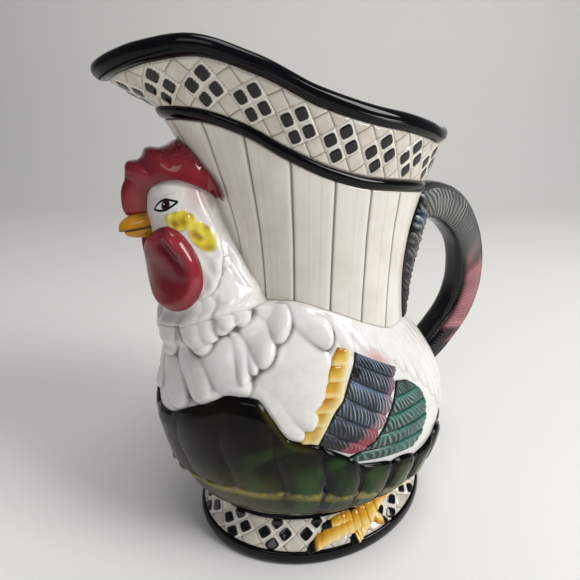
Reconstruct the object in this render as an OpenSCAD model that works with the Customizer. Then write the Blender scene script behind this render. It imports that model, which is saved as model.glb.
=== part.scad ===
// Rooster pitcher: a hollow glazed jug with a planked neck, a lattice collar
// drawn out into a spout, a rooster moulded on its front and a tail handle.
// The origin is the centre of the foot on the table, +X is the handle side,
// -X is the spout side, and the walls are open at the mouth.
// Plan angles are in degrees round +Z: 0 at the handle and 180 at the spout.

/* [Foot] */
// Length of the foot ring along the pitcher
foot_length = 139.4; // [110:1:170]
// Width of the foot ring across the pitcher
foot_width = 108.8; // [90:1:130]
// Height of the black foot ring
ring_height = 8; // [5:0.5:10]
// Height of the foot up to the dark band at the waist
foot_height = 20; // [17:0.5:24]
// Height of the dark waist band
band_height = 4; // [3:0.5:6]
// Length of the waist above the foot
waist_length = 122; // [105:1:135]
// Width of the waist above the foot
waist_width = 86; // [76:1:100]
// Thickness of the closed bottom
base_thickness = 6; // [4:0.5:7]
// Width of the foot ring's top, under the foot's wall
ring_width = 9; // [8:0.5:12]

/* [Belly] */
// Reach of the belly towards the spout
belly_front = 83; // [74:1:90]
// Reach of the belly towards the handle
belly_back = 73.8; // [66:1:80]
// Half the width of the belly
belly_half = 60.5; // [54:1:66]
// Distance of the breast's centre in front of the axis
breast_out = 45; // [40:1:48]
// Radius of the breast
breast_round = 35; // [31:1:37]
// Height of the shoulder, at its highest, where the planks begin
shoulder_height = 142; // [134:1:150]

/* [Walls] */
// Thickness of the vessel's wall
wall = 4.5; // [3:0.5:6]
// Joint left for slip between an applied piece and the wall
slip = 0.3; // [0.2:0.05:0.4]
// Least thickness at the edge of an applied piece
edge = 0.9; // [0.6:0.1:1.5]
// Step of the shoulder round the planks
shoulder_step = 0.8; // [0.5:0.1:1.5]

/* [Neck] */
// Reach of the neck towards the spout, at the collar
neck_front = 71.5; // [64:0.5:76]
// Reach of the neck towards the handle, at the collar
neck_back = 56; // [51:0.5:60]
// Half the width of the neck, at the collar
neck_half = 44; // [40:0.5:48]
// Number of planks round the neck
planks = 16; // [8:8:16]
// Rise of a plank's middle over its grooves
plank_crown = 0.9; // [0.4:0.1:1.4]

/* [Collar and rim] */
// Height of the collar bead under the spout
bead_top = 218.4; // [212:0.5:222]
// Height of the black bead
bead_height = 4.5; // [3.5:0.5:6]
// How far the black bead stands out
bead_out = 1.8; // [1:0.1:2.6]
// Reach of the spout's tip
spout_reach = 95.5; // [88:0.5:100]
// Reach of the rim over the handle
rim_back = 61; // [57:1:66]
// Half the width of the rim
rim_half = 48.5; // [45:0.5:54]
// How far the rim rises over the collar bead, at their highest
spout_rise = 19.6; // [15:0.1:23]
// Height of the black rolled rim
rim_height = 6.5; // [5:0.5:7.5]
// How far the rolled rim stands out
rim_out = 1.5; // [0.8:0.1:2.4]

/* [Rooster] */
// Depth of the top of the rooster's head below the collar bead's highest point
head_drop = 15.4; // [12:0.1:19]
// Height where the hackle ends and the head begins
throat_height = 161; // [156:1:166]
// How far the head's centre stands in front of the planks
head_ahead = 9.3; // [8:0.1:11]
// Radius of the hackle at its foot
hackle_round = 32.5; // [30:0.5:34]
// How far the comb's front edge stands in front of the head's centre
comb_ahead = 26.2; // [24:0.1:28]
// How far the comb rises over the top of the head
comb_rise = 4.5; // [3:0.1:6]
// How far the beak's tip stands in front of the head's centre
beak_ahead = 30.9; // [28:0.1:33]
// Height of the line between the two halves of the beak
beak_height = 173; // [171:0.5:175]
// Drop of the beak's hooked tip
beak_hook = 1.5; // [0:0.5:3]
// Width of the beak where it leaves the head
beak_width = 12.4; // [9:0.2:14]
// Height of the beak's upper half where it leaves the head
beak_rise = 4.6; // [3.6:0.1:5]
// Depth of the beak's lower half where it leaves the head
beak_depth = 4.4; // [3:0.1:5]
// How far the tip of the beak's lower half stands in front of the head's centre
beak_lower_ahead = 26.4; // [24:0.1:28]
// Thickness of a wattle
wattle_thick = 7; // [4:0.5:9]
// Height of a wattle's lower edge
wattle_low = 137.5; // [134:0.5:140]
// Height of a wattle's upper edge, beside the beak
wattle_high = 173; // [171:0.5:174]

/* [Feathers and leaves] */
// Thickness of the leaf band at the middle of a leaf
leaf_thick = 3.6; // [2.8:0.2:4.4]
// Thickness of the leaf band in the crease between two leaves
leaf_crease = 1.2; // [0.9:0.1:1.6]
// Height of the leaf band at its highest
leaf_top = 107; // [101:1:110]
// Thickness of the wing's feathers
feather_thick = 2; // [1.4:0.2:3]
// Height of the wing's upper corner
wing_top = 122; // [117:1:124]
// Rise of the breast's feathers over the body's wall
plume_rise = 3; // [1.6:0.2:3.4]
// Width of the breast's widest feather
plume_width = 17; // [14:0.5:19]
// Thickness of a toe
toe_thick = 3.4; // [2.4:0.2:4.4]
// Half the width of a toe
toe_half = 3.1; // [2.2:0.1:4]

/* [Handle] */
// How far the handle's inner curve stands behind the belly's farthest reach
finger_gap = 17; // [14:0.5:22]
// Height of the handle's top
handle_top = 184.5; // [182:0.5:186]
// Width of the handle across the pitcher
handle_width = 20; // [17:1:23]
// Thickness of the handle
handle_thick = 15; // [12:0.5:17]

/* [Hidden] */
// The two sides of the rooster, and the sign of their plan angles
left = -1;
right = 1;

// Columns round the vessel: four to a plank
columns = 64;
// How much faster the collar flares near its top
collar_flare = 1.12;
// Half the turn of the comb's blade on the rooster
blade_turn = 22;
column_turn = 360 / columns;
plank_turn = 360 / planks;
waist_height = foot_height + band_height;
foot_oval = foot_width / foot_length;
ring_inset = ring_height / 8;
rim_top = bead_top + spout_rise;
head_top = bead_top - head_drop;
comb_top = head_top + comb_rise;

// Height of the shoulder by plan angle, as shares of shoulder_height
shoulder_shares = [
    [0, 0.852], [30, 0.852], [58, 0.859], [83, 0.908], [107, 0.965],
    [131, 1], [150, 0.986], [165, 0.93], [180, 0.901]
];
// Belly by height share: front, back, half, breast centre and breast radius
belly_shares = [
    [0, 0.735, 0.826, 0.711, 0.67, 0.57],
    [0.06, 0.79, 0.89, 0.81, 0.71, 0.7],
    [0.14, 0.858, 0.952, 0.899, 0.8, 0.88],
    [0.24, 0.91, 0.978, 0.95, 0.89, 0.92],
    [0.35, 0.952, 0.998, 0.984, 0.93, 0.95],
    [0.47, 0.98, 1, 1, 0.96, 0.98],
    [0.58, 1, 0.973, 0.992, 0.98, 1],
    [0.69, 0.97, 0.915, 0.959, 1, 1.01],
    [0.79, 0.89, 0.833, 0.9, 1, 1],
    [0.88, 0.783, 0.743, 0.826, 1, 0.96],
    [0.95, 0.675, 0.671, 0.752, 1, 0.92],
    [1, 0.63, 0.627, 0.704, 1, 0.9]
];
// How far the belly has left the waist's own plan, by height share
waist_shares = [[0, 0], [0.06, 0.7], [0.14, 1], [1, 1]];
// Where the body's lower half ends and its shoulder begins, by height share
belly_share = 0.58;
// How much of the cavity under the shoulder is left open, by height share
cavity_shares = [[0, 1], [0.8, 1], [0.88, 0.55], [0.94, 0.05], [1, 0]];
// Neck by share of the height from the shoulder to the collar: front, back, half
neck_shares = [
    [0, 0.63, 0.809, 0.932], [0.09, 0.636, 0.78, 0.927], [0.26, 0.65, 0.754, 0.92],
    [0.46, 0.692, 0.795, 0.92], [0.65, 0.769, 0.884, 0.943], [0.81, 0.86, 0.938, 0.966],
    [0.89, 0.909, 0.961, 0.977], [1, 1, 1, 1]
];
// Height of the collar bead by plan angle, as shares of bead_top
bead_shares = [
    [0, 0.856], [24, 0.856], [39, 0.862], [54, 0.869], [71, 0.876], [90, 0.884],
    [111, 0.903], [131, 0.937], [147, 0.976], [160, 0.996], [171, 1], [180, 1]
];
// Height of the rim by plan angle, as shares of rim_top
rim_shares = [
    [0, 0.885], [38, 0.885], [54, 0.895], [71, 0.906], [90, 0.916], [117, 0.941],
    [138, 0.98], [152.5, 1], [163, 0.99], [169, 0.98], [175, 0.971], [180, 0.967]
];
// Rooster by share of the height from the shoulder to the head's top: how far
// its centre stands in front of the planks, as a share of head_ahead, and its
// radius, as a share of hackle_round
rooster_shares = [
    [0, -0.14, 1], [0.19, 0.21, 0.862], [0.39, 0.67, 0.677], [0.6, 1, 0.554],
    [0.76, 0.79, 0.492], [0.893, 0.41, 0.4], [1, 0.03, 0.2]
];
// Half the turn of the rooster's skin round its own centre, by the same share
rooster_turns = [[0, 110], [0.19, 113], [0.39, 121], [0.6, 132], [0.85, 136], [1, 126]];
// Leaf band's upper edge by plan angle, as shares of leaf_top
leaf_shares = [
    [0, 0.53], [14, 0.56], [28, 0.53], [41, 0.57], [54, 0.545], [72, 0.6], [90, 0.637],
    [104, 0.707], [116, 0.789], [125, 0.83], [131, 0.92], [137, 0.995], [145, 1],
    [153, 0.95], [162, 0.885], [168, 0.835], [180, 0.79]
];
// Columns to one leaf of the leaf band, and the column of the crease next to the handle
leaf_columns = 3;
leaf_crease_column = 2;
// How far a leaf swells from its crease, by share of its width
leaf_swell_shares = [[0, 0], [0.34, 1], [0.66, 1], [1, 0]];
// How far the leaves swell by share of the band's height
leaf_rise_shares = [[0, 0], [0.12, 0.55], [0.3, 0.9], [0.5, 1], [0.7, 0.9], [0.88, 0.6], [1, 0]];
// Feathers of the breast and shoulder: plan angle and share of shoulder_height at
// the root, the same at the tip, share of plume_width and share of plume_rise
plume_shares = [
    [180, 0.831, 180, 0.648, 0.88, 0.67], [174.7, 0.817, 163, 0.655, 0.88, 0.73],
    [166.6, 0.859, 152.8, 0.704, 0.76, 0.8], [158, 0.915, 140.5, 0.746, 1, 0.93],
    [146, 0.965, 134.5, 0.835, 0.76, 1], [173, 0.986, 173.5, 0.803, 0.76, 0.93],
    [164.5, 1.028, 157.5, 0.849, 0.7, 1], [155, 1.06, 148.5, 0.93, 0.7, 0.9],
    [143, 1.007, 129.3, 0.905, 0.82, 1], [131, 1, 108, 0.886, 0.76, 1]
];
// Comb by height share: share of comb_ahead, half turn round the rooster's centre
comb_shares = [
    [0.86, 0.991, 11], [0.882, 1, 15], [0.904, 0.968, 30], [0.92, 0.926, 70],
    [0.947, 0.854, 96], [0.964, 0.717, 98], [0.978, 0.529, 94], [1, 0.153, 66]
];
// Wattle outline by share of its height: middle turn and half turn on the rooster
wattle_shares = [
    [0, 26, 8], [0.12, 26, 22], [0.3, 28, 31], [0.5, 31, 34], [0.7, 36, 31],
    [0.85, 40, 22], [0.94, 41, 14], [1, 41, 6]
];
// Wing borders from top to bottom: plan angle and share of wing_top
bar_front_shares = [[103, 1], [110, 0.907], [114.5, 0.8], [118, 0.705]];
bar_back_shares = [[96, 0.98], [103, 0.88], [108.5, 0.768], [112.5, 0.67]];
fan_front_shares = [[95.2, 0.98], [102.2, 0.875], [107.6, 0.765], [111.6, 0.665]];
fan_back_shares = [[78, 0.955], [72, 0.86], [77, 0.77], [95, 0.615]];
tips_front_shares = [[71.2, 0.85], [73.5, 0.795], [79, 0.73], [93, 0.605]];
tips_back_shares = [[66, 0.84], [55.5, 0.75], [52.5, 0.655], [72, 0.56]];
// Tail sprig borders from top to bottom: plan angle and share of shoulder_height
sprig_front_shares = [[36, 1.24], [34, 1.13], [30, 1], [24, 0.9]];
sprig_back_shares = [[21, 1.25], [18, 1.13], [15, 1], [14, 0.9]];
// Toes: plan angles and shares of foot_height from ankle to nail
toe_shares = [
    [[46, 0.87], [56, 0.85], [66, 0.83], [78, 0.8], [92, 0.74], [104, 0.66], [115, 0.58]],
    [[87, 0.585], [92, 0.54], [96, 0.5]],
    [[72, 0.6], [69, 0.56], [65, 0.52]]
];
// Handle's middle line from the neck to the belly: how far it stands off the
// wall, as a share of its farthest, and its height, as a share of its highest
handle_shares = [
    [0.01, 0.972], [0.145, 0.992], [0.3, 1], [0.475, 0.99], [0.65, 0.962], [0.803, 0.91],
    [0.919, 0.845], [0.981, 0.777], [1, 0.712], [0.968, 0.65], [0.843, 0.585],
    [0.632, 0.537], [0.36, 0.494], [0.01, 0.455]
];
// Outline of the handle across its path, as shares of half width and half thickness
strap_shares = [
    [1, 0.45], [0.72, 0.9], [0, 1], [-0.72, 0.9], [-1, 0.45],
    [-1, -0.45], [-0.72, -0.9], [0, -1], [0.72, -0.9], [1, -0.45]
];

// Slope of a table at one of its rows, level where it turns
function rise(t, i, k) = (t[i + 1][k] - t[i][k]) / (t[i + 1][0] - t[i][0]);
function slope(t, i, k) =
    i <= 0 ? rise(t, 0, k) :
    i >= len(t) - 1 ? rise(t, len(t) - 2, k) :
    let (a = rise(t, i - 1, k), b = rise(t, i, k))
    a * b <= 0 ? 0 : 2 * a * b / (a + b);
// Row of a table that a value falls in
function spot(t, x, i = 0) = i >= len(t) - 2 || x < t[i + 1][0] ? i : spot(t, x, i + 1);
// Smooth curve through a table's column k
function curve(t, x, k = 1) =
    let (
        i = spot(t, x),
        h = t[i + 1][0] - t[i][0],
        u = min(max((x - t[i][0]) / h, 0), 1)
    )
    t[i][k] * (1 + 2 * u) * pow(1 - u, 2) + h * slope(t, i, k) * u * pow(1 - u, 2)
    + t[i + 1][k] * u * u * (3 - 2 * u) - h * slope(t, i + 1, k) * u * u * (1 - u);
function mix(a, b, u) = a + (b - a) * u;
// Plan angle folded to the half from the handle to the spout
function fold(a) = abs((a + 540) % 360 - 180);
// Reach of an egg-shaped plan, and of a round lobe in front of the axis
function oval(front, back, half, a) =
    let (l = cos(a) < 0 ? front : back)
    1 / sqrt(pow(cos(a) / l, 2) + pow(sin(a) / half, 2));
function lobe(out, round, a) =
    let (s = out * sin(a))
    cos(a) < 0 && abs(s) < round ? -out * cos(a) + sqrt(round * round - s * s) : 0;
function place(r, a, z) = [r * cos(a), r * sin(a), z];

// Shoulder, belly, neck, collar and rim as reaches and heights by plan angle
function shoulder_z(a) = shoulder_height * curve(shoulder_shares, fold(a));
function belly_z(a, s) = mix(waist_height, shoulder_z(a), s);
function belly_r(a, s) =
    let (
        waist_draw = 1 - curve(waist_shares, s),
        o = oval(
            mix(belly_front * curve(belly_shares, s, 1), waist_length / 2, waist_draw),
            mix(belly_back * curve(belly_shares, s, 2), waist_length / 2, waist_draw),
            mix(belly_half * curve(belly_shares, s, 3), waist_width / 2, waist_draw), a
        ),
        l = lobe(breast_out * curve(belly_shares, s, 4), breast_round * curve(belly_shares, s, 5), a),
        blend = 20
    )
    o * pow(1 + pow(l / o, blend), 1 / blend);
// Height of the breast's feathers: each rises to its rounded tip and is round
// across. They fade out over the leaves, over the wing and at the body's widest.
breast_reach = mix(belly_front, belly_half, 0.8);
function ramp(x) = let (u = min(max(x, 0), 1)) u * u * (3 - 2 * u);
function flat_x(a) = a * PI / 180 * breast_reach;
function plume(x, z, p) =
    let (
        dx = flat_x(p[2] - p[0]),
        dz = (p[3] - p[1]) * shoulder_height,
        from_x = x - flat_x(p[0]),
        from_z = z - p[1] * shoulder_height,
        long = sqrt(dx * dx + dz * dz),
        u = (from_x * dx + from_z * dz) / (long * long),
        v = (from_x * dz - from_z * dx) / long,
        half = plume_width / 2 * p[4] * sqrt(max(0, 1 - pow(max(2 * u - 1, 0), 2.5)))
    )
    u > 1 || u < 0 || abs(v) >= half ? 0 : plume_rise * p[5] * mix(0.15, 1, u) * sqrt(1 - v * v / (half * half));
function over_leaves(a, z) = ramp((z - leaf_top * curve(leaf_shares, fold(a))) / leaf_thick);
function over_wing(a, z) =
    max(ramp((fold(a) - bar_front_shares[3][0]) / column_turn), ramp((z - wing_top - plume_rise) / plume_rise));
function over_waist(s) = ramp((s - belly_share) / (1 - belly_share) * 5);
function feathered_r(a, s) =
    let (z = belly_z(a, s), x = flat_x(fold(a)))
    belly_r(a, s)
    + max([for (p = plume_shares) plume(x, z, p)]) * over_leaves(a, z) * over_wing(a, z) * over_waist(s);
function belly_at(a, z) =
    belly_r(a, min(max((z - waist_height) / (shoulder_z(a) - waist_height), 0), 1));
neck_low = shoulder_z(0);
function neck_r(a, z) =
    let (s = min(max((z - neck_low) / (bead_top - neck_low), 0), 1))
    oval(
        neck_front * curve(neck_shares, s, 1),
        neck_back * curve(neck_shares, s, 2),
        neck_half * curve(neck_shares, s, 3), a
    );
// Grooves lie one column past the handle's plane
function crown(a) =
    let (u = ((a - column_turn + 360) % plank_turn) / plank_turn)
    plank_crown * (1 - pow(2 * u - 1, 4));
function plank_r(a, z) = neck_r(a, z) + crown(a);
function bead_z(a) = bead_top * curve(bead_shares, fold(a));
function rim_z(a) = rim_top * curve(rim_shares, fold(a));
// Collar between the bead and the rim, flaring a little faster near its top
function collar_r(a, u) =
    let (low = neck_r(a, bead_z(a)), high = oval(spout_reach - rim_out, rim_back - rim_out, rim_half - rim_out, a))
    mix(low, high, pow(u, collar_flare));
function collar_z(a, u) = mix(bead_z(a), rim_z(a), u);
function collar_end(a) = 1 - rim_height / (rim_z(a) - bead_z(a));
// Foot between its ring and the waist
function foot_u(z) = min(max((z - ring_height) / (foot_height - ring_height), 0), 1);
function foot_r(a, z) =
    let (u = pow(1 - foot_u(z), 1.5))
    oval(
        mix(waist_length, foot_length - 4 * ring_inset, u) / 2,
        mix(waist_length, foot_length - 4 * ring_inset, u) / 2,
        mix(waist_width, foot_width - 4 * ring_inset, u) / 2, a
    );
waist_draw_share = 0.97;
function waist_r(a) = waist_draw_share * oval(waist_length / 2, waist_length / 2, waist_width / 2, a);

// Closed ring of walls from rows of points, each row a full turn. Strips from
// the one numbered turned_from on are cut along their other diagonal.
module ring(rows, turned_from) {
    n = len(rows);
    m = len(rows[0]);
    faces = [
        for (i = [0:n - 1], j = [0:m - 1])
        let (
            a = i * m + j,
            b = ((i + 1) % n) * m + j,
            c = ((i + 1) % n) * m + (j + 1) % m,
            d = i * m + (j + 1) % m
        )
        each i < turned_from ? [[a, b, c], [a, c, d]] : [[a, b, d], [b, c, d]]
    ];
    polyhedron(points = [for (r = rows) each r], faces = faces, convexity = 6);
}

// Closed sheet between a front and a back grid of the same rows and columns
module sheet(front, back) {
    n = len(front);
    m = len(front[0]);
    o = n * m;
    skin = [
        for (i = [0:n - 2], j = [0:m - 2])
        let (a = i * m + j, b = a + m, c = b + 1, d = a + 1)
        each [[a, b, c], [a, c, d], [o + a, o + c, o + b], [o + a, o + d, o + c]]
    ];
    ends = [
        for (j = [0:m - 2])
        let (a = j, d = j + 1, b = (n - 1) * m + j, c = b + 1)
        each [[a, d, o + d], [a, o + d, o + a], [b, o + c, c], [b, o + b, o + c]]
    ];
    sides = [
        for (i = [0:n - 2])
        let (a = i * m, b = a + m, d = a + m - 1, c = d + m)
        each [[a, o + a, o + b], [a, o + b, b], [d, c, o + c], [d, o + c, o + d]]
    ];
    polyhedron(
        points = concat([for (r = front) each r], [for (r = back) each r]),
        faces = concat(skin, ends, sides),
        convexity = 6
    );
}

// Closed tube through rings of points, with flat fans over its two ends
module tube(rings) {
    n = len(rings);
    m = len(rings[0]);
    walls = [
        for (i = [0:n - 2], j = [0:m - 1])
        let (a = i * m + j, b = a + m, c = (i + 1) * m + (j + 1) % m, d = i * m + (j + 1) % m)
        each [[a, b, c], [a, c, d]]
    ];
    fans = [
        for (j = [1:m - 2])
        each [[0, j, j + 1], [(n - 1) * m, (n - 1) * m + j + 1, (n - 1) * m + j]]
    ];
    polyhedron(points = [for (r = rings) each r], faces = concat(walls, fans), convexity = 6);
}

turn = [for (j = [0:columns - 1]) j * column_turn];

// Bottom and foot ring, turned as a dish and drawn out to the oval
module base() {
    outer = foot_length / 2;
    lip = ring_height / 4;
    color("#1b1b22")
    scale([1, foot_oval, 1])
    rotate_extrude($fn = 96)
    polygon([
        [0, 0],
        [outer - lip / 2, 0],
        [outer, lip],
        [outer - lip / 4, ring_height - lip],
        [outer - lip, ring_height],
        [outer - ring_width, ring_height],
        [outer - ring_width - lip, base_thickness],
        [0, base_thickness]
    ]);
}

module foot() {
    function row(s, inset) =
        let (z = mix(ring_height, foot_height, s))
        [for (a = turn) place(foot_r(a, z) - inset, a, z)];
    color("#e9e2d2")
    ring(
        [
            row(0, 0), row(0.3, 0), row(0.65, 0), row(1, 0),
            row(1, wall), row(0.5, wall), row(0, wall)
        ],
        6
    );
}

module waist_band() {
    function row(z, r) = [for (a = turn) place(r(a), a, z)];
    color("#17171c")
    ring(
        [
            row(foot_height, function (a) foot_r(a, foot_height)),
            row(mix(foot_height, waist_height, 0.5), function (a) waist_r(a)),
            row(waist_height, function (a) belly_r(a, 0)),
            row(waist_height, function (a) foot_r(a, foot_height) - wall),
            row(foot_height, function (a) foot_r(a, foot_height) - wall)
        ],
        4
    );
}

// Reach of the cavity inside the belly, closing in under the shoulder
function cavity_r(a, s) =
    let (inner = neck_r(a, shoulder_z(a)) - wall)
    mix(inner, belly_r(a, s) - wall, curve(cavity_shares, s));

function belly_outside(s) = [for (a = turn) place(belly_r(a, s), a, belly_z(a, s))];
function belly_inside(s) = [for (a = turn) place(cavity_r(a, s), a, belly_z(a, s))];

// Lower body, from the waist band up to its widest
module belly() {
    steps = [0, 0.06, 0.14, 0.24, 0.35, 0.47, belly_share];
    hollows = [belly_share, 0.47, 0.34, 0.2, 0.08];
    sill = [for (a = turn) place(foot_r(a, foot_height) - wall, a, waist_height)];
    color("#efece4")
    ring(
        concat([for (s = steps) belly_outside(s)], [for (s = hollows) belly_inside(s)], [sill]),
        len(steps)
    );
}

// Upper body, closing in from the widest to the planks
module shoulder() {
    steps = [belly_share, 0.64, 0.69, 0.74, 0.79, 0.84, 0.88, 0.92, 0.96];
    hollows = [0.94, 0.88, 0.8, 0.69, belly_share];
    function feathered(s) = [for (a = turn) place(feathered_r(a, s), a, belly_z(a, s))];
    function seat(inset) = [for (a = turn) place(neck_r(a, shoulder_z(a)) - inset, a, shoulder_z(a))];
    top = [for (a = turn) place(max(belly_r(a, 1), neck_r(a, shoulder_z(a)) + shoulder_step), a, shoulder_z(a))];
    color("#f1eee7")
    ring(
        concat(
            [for (s = steps) feathered(s)], [top, seat(0), seat(wall)],
            [for (s = hollows) belly_inside(s)]
        ),
        len(steps)
    );
}

module neck() {
    steps = [0.02, 0.15, 0.35, 0.6, 0.8, 0.985];
    function height(a, s) = mix(shoulder_z(a), bead_z(a) - bead_height, s);
    function inside(s) = [for (a = turn) place(neck_r(a, height(a, s)) - wall, a, height(a, s))];
    function outside(s) = [for (a = turn) place(neck_r(a, height(a, s)), a, height(a, s))];
    planked = [for (s = steps) [for (a = turn) place(plank_r(a, height(a, s)), a, height(a, s))]];
    rows = concat([outside(0)], planked, [outside(1)], [for (s = [1, 0.66, 0.33, 0]) inside(s)]);
    color("#ece6da") ring(rows, len(rows) - 1);
}

module collar_bead() {
    function row(u, out) = [
        for (a = turn)
        let (z = bead_z(a) - bead_height * (1 - u))
        place(neck_r(a, z) + out, a, z)
    ];
    color("#15151a")
    ring([row(0, 0), row(0.25, bead_out), row(0.75, bead_out), row(1, 0), row(1, -wall), row(0, -wall)], 5);
}

module collar() {
    function row(s, inset) = [
        for (a = turn)
        let (u = s * collar_end(a))
        place(collar_r(a, u) - inset, a, collar_z(a, u))
    ];
    color("#ded6c6")
    ring(
        [row(0, 0), row(0.33, 0), row(0.67, 0), row(1, 0), row(1, wall), row(0.5, wall), row(0, wall)],
        6
    );
}

module rim() {
    function row(v, out) = [
        for (a = turn)
        let (e = collar_end(a), u = mix(e, 1, v))
        place(collar_r(a, u) + out, a, collar_z(a, u))
    ];
    color("#15151a")
    ring(
        [
            row(0, 0), row(0.2, rim_out), row(0.7, rim_out), row(1, -rim_out / 2),
            row(1, -wall), row(0.6, -wall - rim_out), row(0, -wall)
        ],
        6
    );
}

// Rooster's own centre and radius by height, from the shoulder's front up
rooster_low = shoulder_z(180);
function rooster_s(z) = min(max((z - rooster_low) / (head_top - rooster_low), 0), 1);
function rooster_out(z) = neck_r(180, z) + plank_crown + head_ahead * curve(rooster_shares, rooster_s(z), 1);
function rooster_r(z) = hackle_round * curve(rooster_shares, rooster_s(z), 2);
// Point on the rooster at a turn t round its own centre, raised by lift
function skin(t, z, lift = 0) =
    [-rooster_out(z) - (rooster_r(z) + lift) * cos(t), (rooster_r(z) + lift) * sin(t), z];
// Plan angle and reach of a point, and the same point kept clear of the planks
function angle_of(p) = atan2(p[1], p[0]);
function reach_of(p) = sqrt(p[0] * p[0] + p[1] * p[1]);
function clear_of_neck(a, z) = neck_r(a, z) + plank_crown + slip;
function kept(p) =
    let (a = angle_of(p), least = clear_of_neck(a, p[2]) + edge)
    reach_of(p) < least ? place(least, a, p[2]) : p;

// Skin of the rooster between two heights, backed by the planks
module bust(low, steps, high) {
    shares = [-1, -0.86, -0.68, -0.5, -0.32, -0.15, 0, 0.15, 0.32, 0.5, 0.68, 0.86, 1];
    function height(a, s) = mix(low(a), high, s);
    front = [
        for (s = steps) [
            for (u = shares)
            let (
                z0 = mix(rooster_low, high, s),
                guess = skin(u * curve(rooster_turns, rooster_s(z0)), z0),
                z = height(angle_of(guess), s)
            )
            kept(skin(-u * curve(rooster_turns, rooster_s(z)), z))
        ]
    ];
    back = [for (r = front) [for (p = r) place(clear_of_neck(angle_of(p), p[2]), angle_of(p), p[2])]];
    sheet(front, back);
}

module hackle() {
    color("#f0ede6")
    bust(function (a) shoulder_z(a) + slip, [0, 0.2, 0.45, 0.72, 1], throat_height);
}

module head() {
    color("#f2efe9")
    bust(function (a) throat_height, [0, 0.2, 0.4, 0.6, 0.78, 0.92, 1], head_top);
}

// Comb: a cap over the head whose front is drawn out into a blade
module comb() {
    shares = [-1, -0.8, -0.6, -0.4, -0.25, -0.12, 0, 0.12, 0.25, 0.4, 0.6, 0.8, 1];
    rows = [for (c = comb_shares) [c[0] * comb_top, c[1] * comb_ahead, c[2]]];
    function blade(t) = exp(-pow(t / blade_turn, 2));
    function cap(u) = mix(edge, wall / 2, 1 - u * u);
    function out(z, ahead, t, u) = max(mix(cap(u), ahead - rooster_r(z), blade(t)), edge);
    function raised(z, t, lift, extra) =
        let (p = skin(-t, z, lift), a = angle_of(p))
        place(max(reach_of(p), clear_of_neck(a, z) + extra), a, z);
    back = [for (c = rows) [for (u = shares) raised(c[0], u * c[2], slip, 0)]];
    front = [for (c = rows) [for (u = shares) raised(c[0], u * c[2], slip + out(c[0], c[1], u * c[2], u), edge)]];
    color("#8e1f2d") sheet(front, back);
}

// One half of the beak: rings from the head's skin out to the tip. Its own
// height is measured from the line between the halves.
module beak_half(up, tall, ahead, drop) {
    reach = rooster_out(beak_height) + ahead;
    sides = [0, 22.5, 45, 67.5, 90, 112.5, 135, 157.5, 180];
    function section(s) = [
        for (t = sides)
        let (
            w = beak_width / 2 * pow(1 - s, 0.5),
            h = tall * pow(1 - s, 0.38),
            y = w * cos(t),
            z = beak_height + up * (slip / 2 + h * sin(t)) - drop * s * s,
            root = rooster_out(z) + sqrt(pow(rooster_r(z), 2) - y * y) + slip
        )
        [-mix(root, reach, s), up * y, z]
    ];
    tube([for (s = [0, 0.35, 0.65, 0.87, 0.98]) section(s)]);
}

module beak_upper() {
    color("#c98a1e") beak_half(1, beak_rise, beak_ahead, beak_hook);
}

module beak_lower() {
    color("#b97c1a") beak_half(-1, beak_depth, beak_lower_ahead, beak_hook / 2);
}

// Wattle on one side, a pad that swells from its edge
module wattle(side) {
    shares = [-1, -0.85, -0.6, -0.3, 0, 0.3, 0.6, 0.85, 1];
    function spread(s, u) = curve(wattle_shares, s, 1) + u * curve(wattle_shares, s, 2);
    function swell(s, u) =
        edge + (wattle_thick - edge) * sqrt(max(0, (1 - pow(u, 4)) * (1 - pow(2 * s - 1, 4))));
    function grid(lift) = [
        for (s = [0, 0.06, 0.2, 0.4, 0.6, 0.8, 0.94, 1]) [
            for (u = shares)
            skin(-side * spread(s, side * u), mix(wattle_low, wattle_high, s), slip + lift * swell(s, side * u))
        ]
    ];
    color("#93202e") sheet(grid(1), grid(0));
}
module wattle_left() {
    wattle(left);
}

module wattle_right() {
    wattle(right);
}

module leaf_band() {
    function top_z(a) = leaf_top * curve(leaf_shares, fold(a));
    function low_z(a) = waist_height + band_height / 2;
    leaf_turn = leaf_columns * column_turn;
    function swell(a) =
        curve(leaf_swell_shares, ((fold(a) - leaf_crease_column * column_turn + 10 * leaf_turn) % leaf_turn) / leaf_turn);
    function row(s, lift) = [
        for (a = turn)
        let (z = mix(low_z(a), top_z(a), s))
        place(belly_at(a, z) + slip + lift, a, z)
    ];
    function leafy(s) = [
        for (a = turn)
        let (z = mix(low_z(a), top_z(a), s))
        place(
            belly_at(a, z) + slip + mix(leaf_crease, leaf_thick, swell(a) * curve(leaf_rise_shares, s)), a, z
        )
    ];
    color("#2c3d22")
    ring(
        [
            row(0, edge), leafy(0.12), leafy(0.3), leafy(0.5), leafy(0.7), leafy(0.88), row(1, edge),
            row(1, 0), row(0.8, 0), row(0.6, 0), row(0.4, 0), row(0.2, 0), row(0, 0)
        ],
        12
    );
}

// Feather sprig on a side, between its front and back borders. Heights are
// shares of a named height, and the sprig stands on the surface given by reach.
module sprig(side, front, back, height, reach, cols, lift) {
    n = 7;
    function at(u, v) =
        let (
            x = u * (len(front) - 1),
            i = min(floor(x), len(front) - 2),
            p = mix(front[i], front[i + 1], x - i),
            q = mix(back[i], back[i + 1], x - i)
        )
        mix(p, q, v);
    function grid(out) = [
        for (i = [0:n - 1]) [
            for (j = [0:cols - 1])
            let (
                u = 1 - i / (n - 1),
                v = side > 0 ? 1 - j / (cols - 1) : j / (cols - 1),
                p = at(u, v),
                rim = min(min(u, 1 - u) * (n - 1), min(v, 1 - v) * (cols - 1), 1),
                z = p[1] * height
            )
            place(reach(p[0], z) + slip + out * mix(edge, lift, rim), side * p[0], z)
        ]
    ];
    sheet(grid(1), grid(0));
}

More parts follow.
